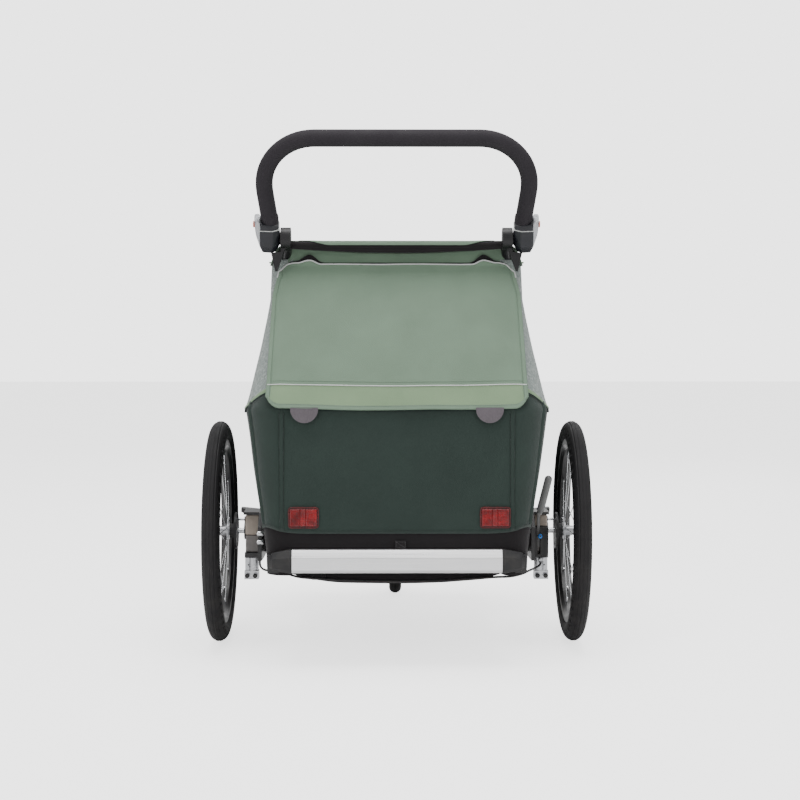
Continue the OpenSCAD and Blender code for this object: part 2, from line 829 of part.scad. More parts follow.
// Local flap frame: x across, y down the slope, z out of the surface
module flap_plane() {
    translate([0, flap_top_y, flap_top_z])
        multmatrix([[1, 0, 0, 0], [0, -sin(flap_tilt), -cos(flap_tilt), 0],
            [0, -cos(flap_tilt), sin(flap_tilt), 0], [0, 0, 0, 1]])
            children();
}

module luggage_flap() placed() color("darkseagreen") {
    side = [[228, 0], [238, 4], [246, 12], [250, 24], [flap_half, flap_len - 30],
        [flap_half - 9, flap_len - 9], [flap_half - 30, flap_len]];
    flap_plane() translate([0, 0, -flap_t / 2]) linear_extrude(height = flap_t)
        polygon(concat(side, [for (q = reversed(side)) [-q[0], q[1]]]));
    // two pull tabs
    both() intersection() {
        bar_y(-325, -322, 196, 553, 29.5);
        box([150, -330, 520], [240, -300, 556]);
    }
}

cover_levels = [352, 400, 450, belt_z, 620, 700, 785, 840, 878];
cover_split = [-1, -0.8, -0.4, 0, 0.4, 0.8, 1];

function cover_row(z, out) = [for (u = cover_split)
    [u * (half_at(z) - 1), front_at(z) + out + 14 * (1 - u * u), z]];

module cover_skin(t0, t1) {
    panel(
        [for (z = cover_levels) cover_row(z, t0)],
        [for (z = cover_levels) cover_row(z, t1)]
    );
}

module cover_window_block(grow) {
    translate([0, 700, 0]) rotate([90, 0, 0]) linear_extrude(height = 600)
        polygon([[-232 - grow, 440 - grow], [232 + grow, 440 - grow], [214 + grow, 800 + grow],
            [-214 - grow, 800 + grow]]);
}

module front_cover() placed() color("darkseagreen") difference() {
    cover_skin(0.7, 3.5);
    cover_window_block(0.3);
}

module front_window() placed() color("lightblue", 0.5) intersection() {
    cover_skin(1.3, 2.9);
    cover_window_block(0);
}

// ---------- drawing ----------

base_frame();
bumper_profile();
bumper_caps();
floor_tub();
skirt();
storage_wall();
side_lower();
side_upper();
side_windows();
roof();
seat_bench();
seat_pads();
buckles();
buckle_button(-1);  // buckle_button_left
buckle_button(1);  // buckle_button_right
reflectors();
wheel_guards();
suspension_plates();
suspension_pads();
brake_housing();
brake_cable();
tow_socket();
tow_pin();
caster_fork();
caster_tyre();
caster_rim();
caster_axle();
swing_arm(-1);  // swing_arm_left
swing_arm(1);  // swing_arm_right
clamp(-1);  // clamp_left
clamp(1);  // clamp_right
axle(-1);  // axle_left
axle(1);  // axle_right
tyre(-1);  // tyre_left
tyre(1);  // tyre_right
rim(-1);  // rim_left
rim(1);  // rim_right
spokes(-1);  // spokes_left
spokes(1);  // spokes_right
hub(-1);  // hub_left
hub(1);  // hub_right
brake_ring(-1);  // brake_ring_left
brake_ring(1);  // brake_ring_right
release_button(-1);  // release_button_left
release_button(1);  // release_button_right
brake_lever();
pawl(-1);  // pawl_left
pawl(1);  // pawl_right
arch_frame();
knuckles();
handle_tube();
handle_foam();
handle_pods();
handle_button(-1);  // handle_button_left
handle_button(1);  // handle_button_right
backrest_frame();
backrest_cover();
luggage_flap();
front_cover();
front_window();
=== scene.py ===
import json
import math

import bmesh
import bpy
from mathutils import Matrix, Vector, noise

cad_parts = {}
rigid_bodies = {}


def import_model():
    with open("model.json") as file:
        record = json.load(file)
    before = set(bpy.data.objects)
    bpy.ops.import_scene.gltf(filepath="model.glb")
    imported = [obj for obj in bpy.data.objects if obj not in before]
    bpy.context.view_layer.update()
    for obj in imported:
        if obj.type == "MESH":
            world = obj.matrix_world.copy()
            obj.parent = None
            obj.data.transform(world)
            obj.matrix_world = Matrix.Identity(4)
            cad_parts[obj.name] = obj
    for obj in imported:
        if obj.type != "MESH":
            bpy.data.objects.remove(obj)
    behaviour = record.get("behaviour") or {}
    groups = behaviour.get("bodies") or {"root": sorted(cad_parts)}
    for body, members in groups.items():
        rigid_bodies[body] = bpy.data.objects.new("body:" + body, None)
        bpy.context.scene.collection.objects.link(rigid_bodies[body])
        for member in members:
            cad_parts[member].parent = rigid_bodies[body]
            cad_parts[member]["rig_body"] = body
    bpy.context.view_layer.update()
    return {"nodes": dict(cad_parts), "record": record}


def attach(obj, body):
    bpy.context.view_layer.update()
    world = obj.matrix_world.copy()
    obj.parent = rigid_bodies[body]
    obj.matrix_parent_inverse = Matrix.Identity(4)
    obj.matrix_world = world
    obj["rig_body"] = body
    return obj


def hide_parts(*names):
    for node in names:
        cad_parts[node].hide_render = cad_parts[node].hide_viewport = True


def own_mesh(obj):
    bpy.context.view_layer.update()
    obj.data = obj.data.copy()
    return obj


bl_info = {
    "name": "Child bicycle trailer",
    "version": (1, 0, 0),
    "blender": (4, 5, 0),
    "location": "View3D > Sidebar > Trailer",
    "description": "Fabric body, push bar, wheels and trim of a two-seat child bicycle trailer",
    "category": "Object",
}

for leftover in list(bpy.data.objects):
    bpy.data.objects.remove(leftover)
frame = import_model()
for plain in bpy.data.materials:
    plain.name = "plain " + plain.name

# Lengths below are in millimetres from the line between the wheel axles; the frame's own
# middle lies this far in front of it.
AXLE = -198.0
# The main wheels' centres: how far out on each side, and how high.
WHEELS = (("left", -405), ("right", 405))
WHEEL_Z = 253


# ---------- small helpers ----------

def spot(x, y, z):
    return Vector((x, y + AXLE, z)) * 0.001


def mix(a, b, t):
    return a + (b - a) * t


def ease(t):
    t = max(0.0, min(1.0, t))
    return t * t * (3 - 2 * t)


def tone(r, g, b):
    """Linear colour from the red, green and blue of a colour chart, 0 to 255."""
    def lin(v):
        v /= 255
        return v / 12.92 if v <= 0.04045 else ((v + 0.055) / 1.055) ** 2.4
    return (lin(r), lin(g), lin(b))


def ripple(x, y, z, size, height):
    """Soft unevenness of hand-fitted fabric."""
    return height * noise.noise(Vector((x, y, z)) / size)


# ---------- shape of the fabric body ----------

BELT = 552.0
ROOF_HALF = 278.0
FLAP_TOP = (-130.0, 857.0)
FLAP_LOW = (-322.0, 551.0)
FLAP_TILT = math.atan2(FLAP_TOP[0] - FLAP_LOW[0], FLAP_TOP[1] - FLAP_LOW[1])


def half_at(z):
    if z < BELT:
        return mix(286, 326, (z - 292) / 260)
    if z < 785:
        return mix(326, ROOF_HALF, ((z - BELT) / 233) ** 0.8)
    return ROOF_HALF


def flat_at(z):
    return 245.0 if z < BELT else mix(245, 238, (z - BELT) / 330)


def rear_at(z):
    if z < BELT:
        return mix(-327, -318, (z - 292) / 260)
    if z < FLAP_TOP[1]:
        return FLAP_LOW[0] + (z - FLAP_LOW[1]) * math.tan(FLAP_TILT) + 4.5
    return -125.5 + (z - FLAP_TOP[1]) * 0.1


def front_at(z):
    if z < 350:
        return 606.0
    if z < BELT:
        return mix(606, 452, (z - 350) / 202)
    if z < 785:
        return mix(452, 285, (z - BELT) / 233)
    return mix(285, 196, (z - 785) / 95)


def round_body(q, z, out=0.0, corner=(0.22, 0.32)):
    """Point on the body's outline at height z: q is 0 at the rear middle, 1 at the front edge."""
    hf, hw, yr = flat_at(z), half_at(z) + out, rear_at(z) - out
    rc = hw - hf
    if q < corner[0]:
        return hf * q / corner[0], yr
    if q < corner[1]:
        a = math.pi / 2 * (q - corner[0]) / (corner[1] - corner[0])
        return hf + rc * math.sin(a), yr + rc * (1 - math.cos(a))
    return hw, mix(yr + rc, front_at(z), (q - corner[1]) / (1 - corner[1]))


def belt_line(q):
    """Height of the seam between the dark lower cloth and the mesh panels."""
    return mix(590, 543, ease((q - 0.238) / 0.085)) if q < 0.33 else mix(543, 551, (q - 0.33) / 0.67)


def hem_line(q):
    """Height of the seam between the dark cloth and the black lower band."""
    return 290 + 12 * math.exp(-(((q - 0.27) / 0.05) ** 2))


def roof_z(x, y):
    t = min(1.0, abs(x) / ROOF_HALF)
    crown = 884 + 32 * (1 - t ** 2.2)
    if y > 20:
        crown = mix(crown, 884 + 5 * (1 - t ** 2.2), ease((y - 20) / 180))
    edge = 889 + 15.5 * min(1.0, abs(x) / 246) ** 2.2
    rear = mix(edge, crown, ease((y + 128) / 118))
    if abs(x) > 250:
        rear = mix(rear, 866, ((abs(x) - 250) / 28) ** 2.4)
    return rear


def flap_width(d):
    return mix(260, 270, ease((d - 5) / 80)) + 9 * max(0.0, d) / 361


def flap_top_edge(x):
    """How far down the slope the flap's upper edge lies, with its two hook loops."""
    a = abs(x)
    d = -3.5
    d -= 10.5 * ease(1 - abs(a - 192) / 25)
    d -= 4.0 * ease((a - 192) / 20) * (1 - ease((a - 222) / 26))
    return d + 17 * ease((a - 236) / 24) ** 1.4


def flap_point(x, d, out=0.0):
    s, c = math.sin(FLAP_TILT), math.cos(FLAP_TILT)
    return (x, FLAP_TOP[0] - max(d, 0.0) * s - out * c, FLAP_TOP[1] - d * c + out * s)


def flap_low_edge(x):
    a = abs(x) / 279
    return 363 - 5 * a ** 2 - (28 * ((a - 0.89) / 0.11) ** 2.3 if a > 0.89 else 0)


def flap_billow(x, d):
    """How far the flap's cloth stands off its flat plane."""
    t = (d + 4) / 366
    swell = 5.5 * math.sin(math.pi * max(0.0, min(1.0, t))) ** 1.1 * (1 - (abs(x) / 285) ** 4)
    hang = 1.8 * math.sin(x / 47.0) * ease((t - 0.8) / 0.2)
    turn = -5.0 * ease((abs(x) - 244) / 34) * (1 - ease((t - 0.75) / 0.2))
    return 3.2 + swell + hang + turn + ripple(x, d, 7, 90, 1.6)


# ---------- making pieces ----------

def to_object(name, bm, material, smooth=True):
    mesh = bpy.data.meshes.new(name)
    bm.to_mesh(mesh)
    bm.free()
    piece = bpy.data.objects.new(name, mesh)
    bpy.context.scene.collection.objects.link(piece)
    if material:
        mesh.materials.append(bpy.data.materials[material])
    if smooth:
        mesh.shade_smooth()
    return piece


def settle(piece, body, slot, *nodes):
    if nodes:
        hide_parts(*nodes)
    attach(piece, body)
    return piece


def folds(piece):
    """Gives a fabric piece a mesh of its own."""
    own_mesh(piece)
    return piece


def mapped(cols, rows, place):
    """A grid laid on the surface place(u, w), with a cloth UV map in metres."""
    bm = bmesh.new()
    bmesh.ops.create_grid(bm, x_segments=cols, y_segments=rows, size=0.5)
    uv = bm.loops.layers.uv.new("Cloth")
    steps = 24
    width = sum((spot(*place(k / steps, 0.5)) - spot(*place((k + 1) / steps, 0.5))).length
                for k in range(steps))
    height = sum((spot(*place(0.4, k / steps)) - spot(*place(0.4, (k + 1) / steps))).length
                 for k in range(steps))
    for face in bm.faces:
        for loop in face.loops:
            c = loop.vert.co
            loop[uv].uv = ((c.x + 0.5) * width, (c.y + 0.5) * height)
    for v in bm.verts:
        v.co = spot(*place(v.co.x + 0.5, v.co.y + 0.5))
    return bm


def outward(bm, from_point):
    """Turns the sheet's faces away from a point inside the body."""
    bm.normal_update()
    centre = spot(*from_point)
    away = sum((f.calc_center_median() - centre).dot(f.normal) * f.calc_area() for f in bm.faces)
    if away < 0:
        bmesh.ops.reverse_faces(bm, faces=bm.faces[:])
    return bm


def opened(bm, outline, plane, keep_inside=False):
    """Cuts a straight-sided window out of a sheet, or keeps only the window. The outline's
    points are in the two axes of plane, counter-clockwise."""
    i, j = plane
    k = 3 - i - j
    for a, b in zip(outline, outline[1:] + outline[:1]):
        normal = Vector((0, 0, 0))
        normal[i], normal[j] = b[1] - a[1], a[0] - b[0]
        point = [0, 0, 0]
        point[i], point[j], point[k] = a[0], a[1], 0
        bmesh.ops.bisect_plane(bm, geom=bm.verts[:] + bm.edges[:] + bm.faces[:], dist=1e-6,
                               plane_co=spot(*point), plane_no=normal)
    def inside(face):
        c = face.calc_center_median() * 1000
        c.y -= AXLE
        return all((b[0] - a[0]) * (c[j] - a[1]) - (b[1] - a[1]) * (c[i] - a[0]) > 0
                   for a, b in zip(outline, outline[1:] + outline[:1]))
    gone = [f for f in bm.faces if inside(f) != keep_inside]
    bmesh.ops.delete(bm, geom=gone, context="FACES")
    return bm


def thicken(piece, mm, offset=-1.0):
    wall = piece.modifiers.new("Cloth thickness", "SOLIDIFY")
    wall.thickness = mm * 0.001
    wall.offset = offset
    return piece


def sheet_piece(name, bm, material, thick=2.0):
    return thicken(to_object(name, bm, material), thick)


def piping(name, lines, radius, material, sides=8, closed=False):
    """Round cord sewn along one or more lines of points, as one piece."""
    curve = bpy.data.curves.new(name, "CURVE")
    curve.dimensions = "3D"
    curve.bevel_depth = radius * 0.001
    curve.bevel_resolution = max(1, sides // 4)
    curve.use_fill_caps = True
    for line in lines:
        spline = curve.splines.new("POLY")
        spline.points.add(len(line) - 1)
        for p, q in zip(spline.points, line):
            p.co = (*spot(*q), 1)
        spline.use_cyclic_u = closed
    made = bpy.data.objects.new(name + "_line", curve)
    bpy.context.scene.collection.objects.link(made)
    bpy.context.view_layer.update()
    mesh = bpy.data.meshes.new_from_object(made.evaluated_get(bpy.context.evaluated_depsgraph_get()))
    bpy.data.objects.remove(made)
    mesh.name = name
    mesh.materials.clear()
    mesh.materials.append(bpy.data.materials[material])
    piece = bpy.data.objects.new(name, mesh)
    bpy.context.scene.collection.objects.link(piece)
    mesh.shade_smooth()
    return piece


def ribbon(name, lines, across, width, thick, material):
    """Flat tape along lines of points; across(p) is the tape's width direction."""
    whole = bmesh.new()
    whole.loops.layers.uv.new("Cloth")
    for line in lines:
        bm = mapped(len(line) - 1, 4, lambda u, w: tape_point(line, across, width, u, w))
        part = bpy.data.meshes.new("part")
        bm.to_mesh(part)
        bm.free()
        whole.from_mesh(part)
        bpy.data.meshes.remove(part)
    return thicken(to_object(name, whole, material), thick, 0.0)


def tape_point(line, across, width, u, w):
    k = min(int(round(u * (len(line) - 1))), len(line) - 1)
    p = Vector(line[k])
    d = Vector(across(p)).normalized()
    return tuple(p + d * (w - 0.5) * width)


def stitches(name, lines, material, length=3.0, pitch=5.2, radius=0.42):
    """Short thread stitches along lines of points."""
    bm = bmesh.new()
    for line in lines:
        pts = [spot(*q) for q in line]
        run = 0.0
        for a, b in zip(pts, pts[1:]):
            span = (b - a).length * 1000
            if span < 1e-6:
                continue
            turn = (b - a).to_track_quat("Z", "Y").to_matrix().to_4x4()
            while run < span:
                middle = a.lerp(b, run / span)
                bmesh.ops.create_cone(bm, cap_ends=True, segments=5, radius1=radius * 0.001,
                                      radius2=radius * 0.001, depth=length * 0.001,
                                      matrix=Matrix.Translation(middle) @ turn)
                run += pitch
            run -= span
    return to_object(name, bm, material)


def both_sides(line):
    return [line, [(-x, y, z) for x, y, z in line]]


def rounded_hull(points, width, segments=2):
    """Closed moulding round a set of corner points, with its edges rounded."""
    bm = bmesh.new()
    for p in points:
        bm.verts.new(spot(*p))
    made = bmesh.ops.convex_hull(bm, input=bm.verts[:])
    loose = [g for g in made["geom_interior"] + made["geom_unused"] if isinstance(g, bmesh.types.BMVert)]
    bmesh.ops.delete(bm, geom=list(set(loose)), context="VERTS")
    bmesh.ops.dissolve_limit(bm, angle_limit=0.05, verts=bm.verts[:], edges=bm.edges[:])
    if width:
        bmesh.ops.bevel(bm, geom=bm.edges[:], offset=width * 0.001, segments=segments, profile=0.5,
                        affect="EDGES", clamp_overlap=True, material=-1)
    bmesh.ops.recalc_face_normals(bm, faces=bm.faces[:])
    return bm


def join(parts):
    whole = bmesh.new()
    for bm in parts:
        part = bpy.data.meshes.new("part")
        bm.to_mesh(part)
        bm.free()
        whole.from_mesh(part)
        bpy.data.meshes.remove(part)
    return whole


def block(a, b, width, segments=2):
    return rounded_hull([(x, y, z) for x in (a[0], b[0]) for y in (a[1], b[1]) for z in (a[2], b[2])],
                        width, segments)


def drum(centre, axis, radius, length, width=0.0, segments=40, tip=None):
    """Short round piece centred on a point along an axis."""
    bm = bmesh.new()
    turn = Vector(axis).to_track_quat("Z", "Y").to_matrix().to_4x4()
    bmesh.ops.create_cone(bm, cap_ends=True, segments=segments, radius1=radius * 0.001,
                          radius2=(radius if tip is None else tip) * 0.001, depth=length * 0.001,
                          matrix=Matrix.Translation(spot(*centre)) @ turn)
    if width:
        rims = [e for e in bm.edges if len(e.link_faces) == 2 and e.calc_face_angle(0) > 0.8]
        bmesh.ops.bevel(bm, geom=rims, offset=width * 0.001, segments=2, profile=0.5,
                        affect="EDGES", clamp_overlap=True, material=-1)
    return bm


def flipped(bm):
    """The mirror image on the other side of the trailer."""
    bmesh.ops.scale(bm, vec=(-1, 1, 1), verts=bm.verts[:])
    bmesh.ops.reverse_faces(bm, faces=bm.faces[:])
    return bm


def crisp(piece, degrees=32):
    """Smooth shading that keeps the hard edges hard."""
    piece.data.shade_smooth()
    piece.data.set_sharp_from_angle(angle=math.radians(degrees))
    return piece


def refined(node, width, material, name, slot):
    """A merged copy of a frame piece with its hard edges rounded, in place of the plain one."""
    source = frame["nodes"][node]
    bm = bmesh.new()
    bm.from_mesh(source.data)
    bmesh.ops.remove_doubles(bm, verts=bm.verts[:], dist=2e-5)
    bmesh.ops.dissolve_limit(bm, angle_limit=0.02, verts=bm.verts[:], edges=bm.edges[:])
    sharp = [e for e in bm.edges if len(e.link_faces) == 2 and e.calc_face_angle(0) > 0.6]
    bmesh.ops.bevel(bm, geom=sharp, offset=width * 0.001, segments=2, profile=0.5,
                    affect="EDGES", clamp_overlap=True, material=-1)
    piece = crisp(to_object(name, bm, material), 40)
    flat = piece.modifiers.new("Flat faces", "WEIGHTED_NORMAL")
    flat.keep_sharp = True
    return settle(piece, source["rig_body"], slot, node)


# ---------- finishes ----------

def node(tree, kind, **values):
    n = tree.nodes.new("ShaderNode" + kind)
    for key, value in values.items():
        if key in n.inputs:
            n.inputs[key].default_value = value
        else:
            setattr(n, key, value)
    return n


def maths(tree, operation, a, b=None):
    n = node(tree, "Math", operation=operation)
    for k, v in enumerate((a, b)):
        if v is None:
            continue
        if isinstance(v, (int, float)):
            n.inputs[k].default_value = v
        else:
            tree.links.new(v, n.inputs[k])
    return n.outputs[0]


def noise_of(tree, vector, scale, detail=2.0, roughness=0.5):
    n = node(tree, "TexNoise", Scale=scale, Detail=detail, Roughness=roughness)
    tree.links.new(vector, n.inputs["Vector"])
    return n.outputs["Fac"]


def spread(tree, value, low, high, to_low=0.0, to_high=1.0):
    n = node(tree, "MapRange")
    n.inputs["From Min"].default_value = low
    n.inputs["From Max"].default_value = high
    n.inputs["To Min"].default_value = to_low
    n.inputs["To Max"].default_value = to_high
    tree.links.new(value, n.inputs["Value"])
    return n.outputs[0]


def blend_of(tree, factor, a, b, kind="MIX"):
    n = node(tree, "Mix", data_type="RGBA", blend_type=kind)
    if isinstance(factor, (int, float)):
        n.inputs["Factor"].default_value = factor
    else:
        tree.links.new(factor, n.inputs["Factor"])
    for socket, v in ((n.inputs[6], a), (n.inputs[7], b)):
        if isinstance(v, tuple):
            socket.default_value = (*v, 1)
        else:
            tree.links.new(v, socket)
    return n.outputs[2]


def new_group(name, inputs, outputs):
    g = bpy.data.node_groups.new(name, "ShaderNodeTree")
    for label, kind, value in inputs:
        s = g.interface.new_socket(name=label, in_out="INPUT", socket_type="NodeSocket" + kind)
        if value is not None:
            s.default_value = value
    for label in outputs:
        g.interface.new_socket(name=label, in_out="OUTPUT", socket_type="NodeSocketFloat")
    return g, g.nodes.new("NodeGroupInput").outputs, g.nodes.new("NodeGroupOutput").inputs


def build_weave_group():
    """Plain weave: threads going over and under, with uneven yarn and a soft mottle."""
    g, i, o = new_group("Plain weave", [("Vector", "Vector", None), ("Pitch", "Float", 0.001)],
                        ["Height", "Yarn", "Mottle"])
    size = node(g, "VectorMath", operation="SCALE")
    g.links.new(i["Vector"], size.inputs[0])
    g.links.new(maths(g, "DIVIDE", 1.0, i["Pitch"]), size.inputs["Scale"])
    wobble = noise_of(g, size.outputs[0], 0.11, 2.0)
    part = node(g, "SeparateXYZ")
    g.links.new(size.outputs[0], part.inputs[0])
    shift = maths(g, "MULTIPLY", wobble, 1.6)
    warp = maths(g, "SINE", maths(g, "MULTIPLY", maths(g, "ADD", part.outputs[0], shift), math.pi))
    weft = maths(g, "SINE", maths(g, "MULTIPLY", maths(g, "ADD", part.outputs[1], shift), math.pi))
    over = maths(g, "MULTIPLY", warp, weft)
    yarn = noise_of(g, size.outputs[0], 0.42, 3.0, 0.6)
    height = maths(g, "ADD", maths(g, "MULTIPLY", over, 0.5), maths(g, "MULTIPLY", yarn, 0.8))
    g.links.new(height, o["Height"])
    g.links.new(spread(g, yarn, 0.25, 0.75), o["Yarn"])
    g.links.new(spread(g, noise_of(g, i["Vector"], 9.0, 4.0, 0.55), 0.3, 0.7), o["Mottle"])


def build_fleck_group():
    """Heathered yarn: short light and dark lengths of thread both ways across the cloth."""
    g, i, o = new_group("Heather flecks", [("Vector", "Vector", None), ("Length", "Float", 0.005)],
                        ["Light", "Dark"])
    size = node(g, "VectorMath", operation="SCALE")
    g.links.new(i["Vector"], size.inputs[0])
    g.links.new(maths(g, "DIVIDE", 1.0, i["Length"]), size.inputs["Scale"])
    ways = []
    for stretch in ((1.0, 5.0, 1.0), (5.0, 1.0, 1.0)):
        turned = node(g, "VectorMath", operation="MULTIPLY")
        turned.inputs[1].default_value = stretch
        g.links.new(size.outputs[0], turned.inputs[0])
        ways.append(noise_of(g, turned.outputs[0], 1.0, 2.0, 0.6))
    most = maths(g, "MAXIMUM", ways[0], ways[1])
    least = maths(g, "MINIMUM", ways[0], ways[1])
    g.links.new(spread(g, most, 0.56, 0.72), o["Light"])
    g.links.new(spread(g, least, 0.44, 0.28), o["Dark"])


def build_grain_group():
    """Moulded or cast surface: fine pitted grain and a slow unevenness."""
    g, i, o = new_group("Moulded grain", [("Vector", "Vector", None), ("Size", "Float", 0.001)],
                        ["Height", "Cloud"])
    size = node(g, "VectorMath", operation="SCALE")
    g.links.new(i["Vector"], size.inputs[0])
    g.links.new(maths(g, "DIVIDE", 1.0, i["Size"]), size.inputs["Scale"])
    cells = node(g, "TexVoronoi", feature="SMOOTH_F1", Scale=1.0)
    g.links.new(size.outputs[0], cells.inputs["Vector"])
    fine = noise_of(g, size.outputs[0], 1.7, 3.0)
    g.links.new(maths(g, "ADD", cells.outputs["Distance"], maths(g, "MULTIPLY", fine, 0.7)), o["Height"])
    g.links.new(spread(g, noise_of(g, i["Vector"], 22.0, 4.0, 0.6), 0.3, 0.7), o["Cloud"])


def build_wear_group():
    """Handling wear on outer edges, and road dust that gathers low down."""
    g, i, o = new_group("Handling wear", [("Vector", "Vector", None), ("Reach", "Float", 0.08)],
                        ["Edge", "Dust"])
    form = node(g, "NewGeometry")
    raised = maths(g, "SUBTRACT", form.outputs["Pointiness"], 0.5)
    patch = spread(g, noise_of(g, i["Vector"], 60.0, 4.0, 0.65), 0.35, 0.7)
    edge = maths(g, "MULTIPLY", maths(g, "DIVIDE", raised, i["Reach"]), patch)
    g.links.new(spread(g, edge, 0.1, 0.9), o["Edge"])
    part = node(g, "SeparateXYZ")
    g.links.new(i["Vector"], part.inputs[0])
    low = spread(g, part.outputs[2], 0.42, 0.02)
    g.links.new(maths(g, "MULTIPLY", low, spread(g, noise_of(g, i["Vector"], 35.0, 5.0, 0.6), 0.42, 0.75)),
                o["Dust"])


def build_brushed_group():
    """Fine parallel marks left by drawing or brushing metal."""
    g, i, o = new_group("Brushed metal", [("Vector", "Vector", None), ("Along", "Vector", (0.02, 1, 1))],
                        ["Height", "Streak"])
    turned = node(g, "VectorMath", operation="MULTIPLY")
    g.links.new(i["Vector"], turned.inputs[0])
    g.links.new(i["Along"], turned.inputs[1])
    fine = noise_of(g, turned.outputs[0], 1800.0, 3.0, 0.6)
    g.links.new(fine, o["Height"])
    g.links.new(spread(g, noise_of(g, turned.outputs[0], 260.0, 4.0, 0.6), 0.3, 0.7), o["Streak"])


def placed_group(tree, name, vector, **values):
    n = tree.nodes.new("ShaderNodeGroup")
    n.node_tree = bpy.data.node_groups[name]
    tree.links.new(vector, n.inputs["Vector"])
    for key, value in values.items():
        n.inputs[key].default_value = value
    return n.outputs


def started(name, **sockets):
    m = bpy.data.materials.new(name)
    m.use_nodes = True
    tree = m.node_tree
    bsdf = tree.nodes["Principled BSDF"]
    for key, value in sockets.items():
        bsdf.inputs[key.replace("_", " ")].default_value = value
    return tree, bsdf


def bumped(tree, bsdf, height, distance, strength=1.0, under=None):
    b = node(tree, "Bump", Strength=strength, Distance=distance)
    tree.links.new(height, b.inputs["Height"])
    if under is not None:
        tree.links.new(under, b.inputs["Normal"])
    tree.links.new(b.outputs[0], bsdf.inputs["Normal"])
    return b.outputs[0]


def shade(colour, factor):
    return tuple(min(1.0, c * factor) for c in colour)


def cloth(name, colour, pitch=0.0011, rough=0.9, sheen=0.25, contrast=0.12, coords="UV", fleck=0.0,
          bump=0.00035, light=None):
    """Woven polyester in a plain weave."""
    tree, bsdf = started(name, Sheen_Weight=sheen, Sheen_Roughness=0.5, Specular_IOR_Level=0.25)
    vector = node(tree, "TexCoord").outputs[coords]
    weave = placed_group(tree, "Plain weave", vector, Pitch=pitch)
    base = blend_of(tree, weave["Yarn"], shade(colour, 1 - contrast), shade(colour, 1 + contrast))
    if not fleck:
        base = blend_of(tree, weave["Mottle"], base, shade(colour, 1 + contrast * 0.8))
    soft = node(tree, "Mix", data_type="RGBA", blend_type="MULTIPLY")
    soft.inputs["Factor"].default_value = 1.0
    tint = spread(tree, weave["Mottle"], 0.0, 1.0, 1 - contrast * 0.5, 1.0)
    grey = node(tree, "CombineColor")
    for k in range(3):
        tree.links.new(tint, grey.inputs[k])
    tree.links.new(base, soft.inputs[6])
    tree.links.new(grey.outputs[0], soft.inputs[7])
    result = soft.outputs[2]
    if fleck:
        flecks = placed_group(tree, "Heather flecks", vector, Length=0.0085)
        result = blend_of(tree, maths(tree, "MULTIPLY", flecks["Dark"], fleck), result, shade(colour, 0.45))
        result = blend_of(tree, maths(tree, "MULTIPLY", flecks["Light"], fleck), result,
                          light or shade(colour, 1.7))
    tree.links.new(result, bsdf.inputs["Base Color"])
    tree.links.new(spread(tree, weave["Yarn"], 0, 1, rough - 0.08, min(1.0, rough + 0.06)),
                   bsdf.inputs["Roughness"])
    bumped(tree, bsdf, weave["Height"], bump)


def moulded(name, colour, rough=0.5, grain=0.0011, bump=0.00012, wear=0.5, dust=0.25, worn=None, **more):
    """Moulded plastic or rubber: fine grain, rubbed edges, a little road dust."""
    tree, bsdf = started(name, **more)
    vector = node(tree, "TexCoord").outputs["Object"]
    skin = placed_group(tree, "Moulded grain", vector, Size=grain)
    use = placed_group(tree, "Handling wear", vector)
    base = blend_of(tree, skin["Cloud"], shade(colour, 0.88), shade(colour, 1.12))
    base = blend_of(tree, maths(tree, "MULTIPLY", use["Edge"], wear), base,
                    worn or shade(colour, 2.2))
    base = blend_of(tree, maths(tree, "MULTIPLY", use["Dust"], dust), base, tone(150, 142, 130))
    tree.links.new(base, bsdf.inputs["Base Color"])
    tree.links.new(spread(tree, skin["Cloud"], 0, 1, rough - 0.06, rough + 0.08), bsdf.inputs["Roughness"])
    bumped(tree, bsdf, skin["Height"], bump)


def metal(name, colour, rough=0.3, along=(0.02, 1.0, 1.0), bump=0.00002, dust=0.15, painted=False, **more):
    """Aluminium or steel with fine drawing marks, or the same under paint."""
    tree, bsdf = started(name, Metallic=0.0 if painted else 1.0, **more)
    vector = node(tree, "TexCoord").outputs["Object"]
    marks = placed_group(tree, "Brushed metal", vector, Along=along)
    use = placed_group(tree, "Handling wear", vector)
    base = blend_of(tree, marks["Streak"], shade(colour, 0.93), shade(colour, 1.05))
    base = blend_of(tree, maths(tree, "MULTIPLY", use["Edge"], 0.35), base, shade(colour, 1.5))
    base = blend_of(tree, maths(tree, "MULTIPLY", use["Dust"], dust), base, tone(120, 114, 104))
    tree.links.new(base, bsdf.inputs["Base Color"])
    tree.links.new(spread(tree, marks["Streak"], 0, 1, rough - 0.05, rough + 0.07), bsdf.inputs["Roughness"])
    bumped(tree, bsdf, marks["Height"], bump)


def film(name, colour, alpha, rough=0.12):
    """Clear or smoked plastic window, a little wavy."""
    tree, bsdf = started(name, Roughness=rough, IOR=1.45, Specular_IOR_Level=0.6)
    bsdf.inputs["Base Color"].default_value = (*colour, 1)
    bsdf.inputs["Alpha"].default_value = alpha
    vector = node(tree, "TexCoord").outputs["UV"]
    waves = noise_of(tree, vector, 9.0, 2.0)
    smudge = spread(tree, noise_of(tree, vector, 30.0, 4.0, 0.6), 0.35, 0.75, rough, rough + 0.16)
    tree.links.new(smudge, bsdf.inputs["Roughness"])
    bumped(tree, bsdf, waves, 0.0015)
    bpy.data.materials[name].surface_render_method = "BLENDED"


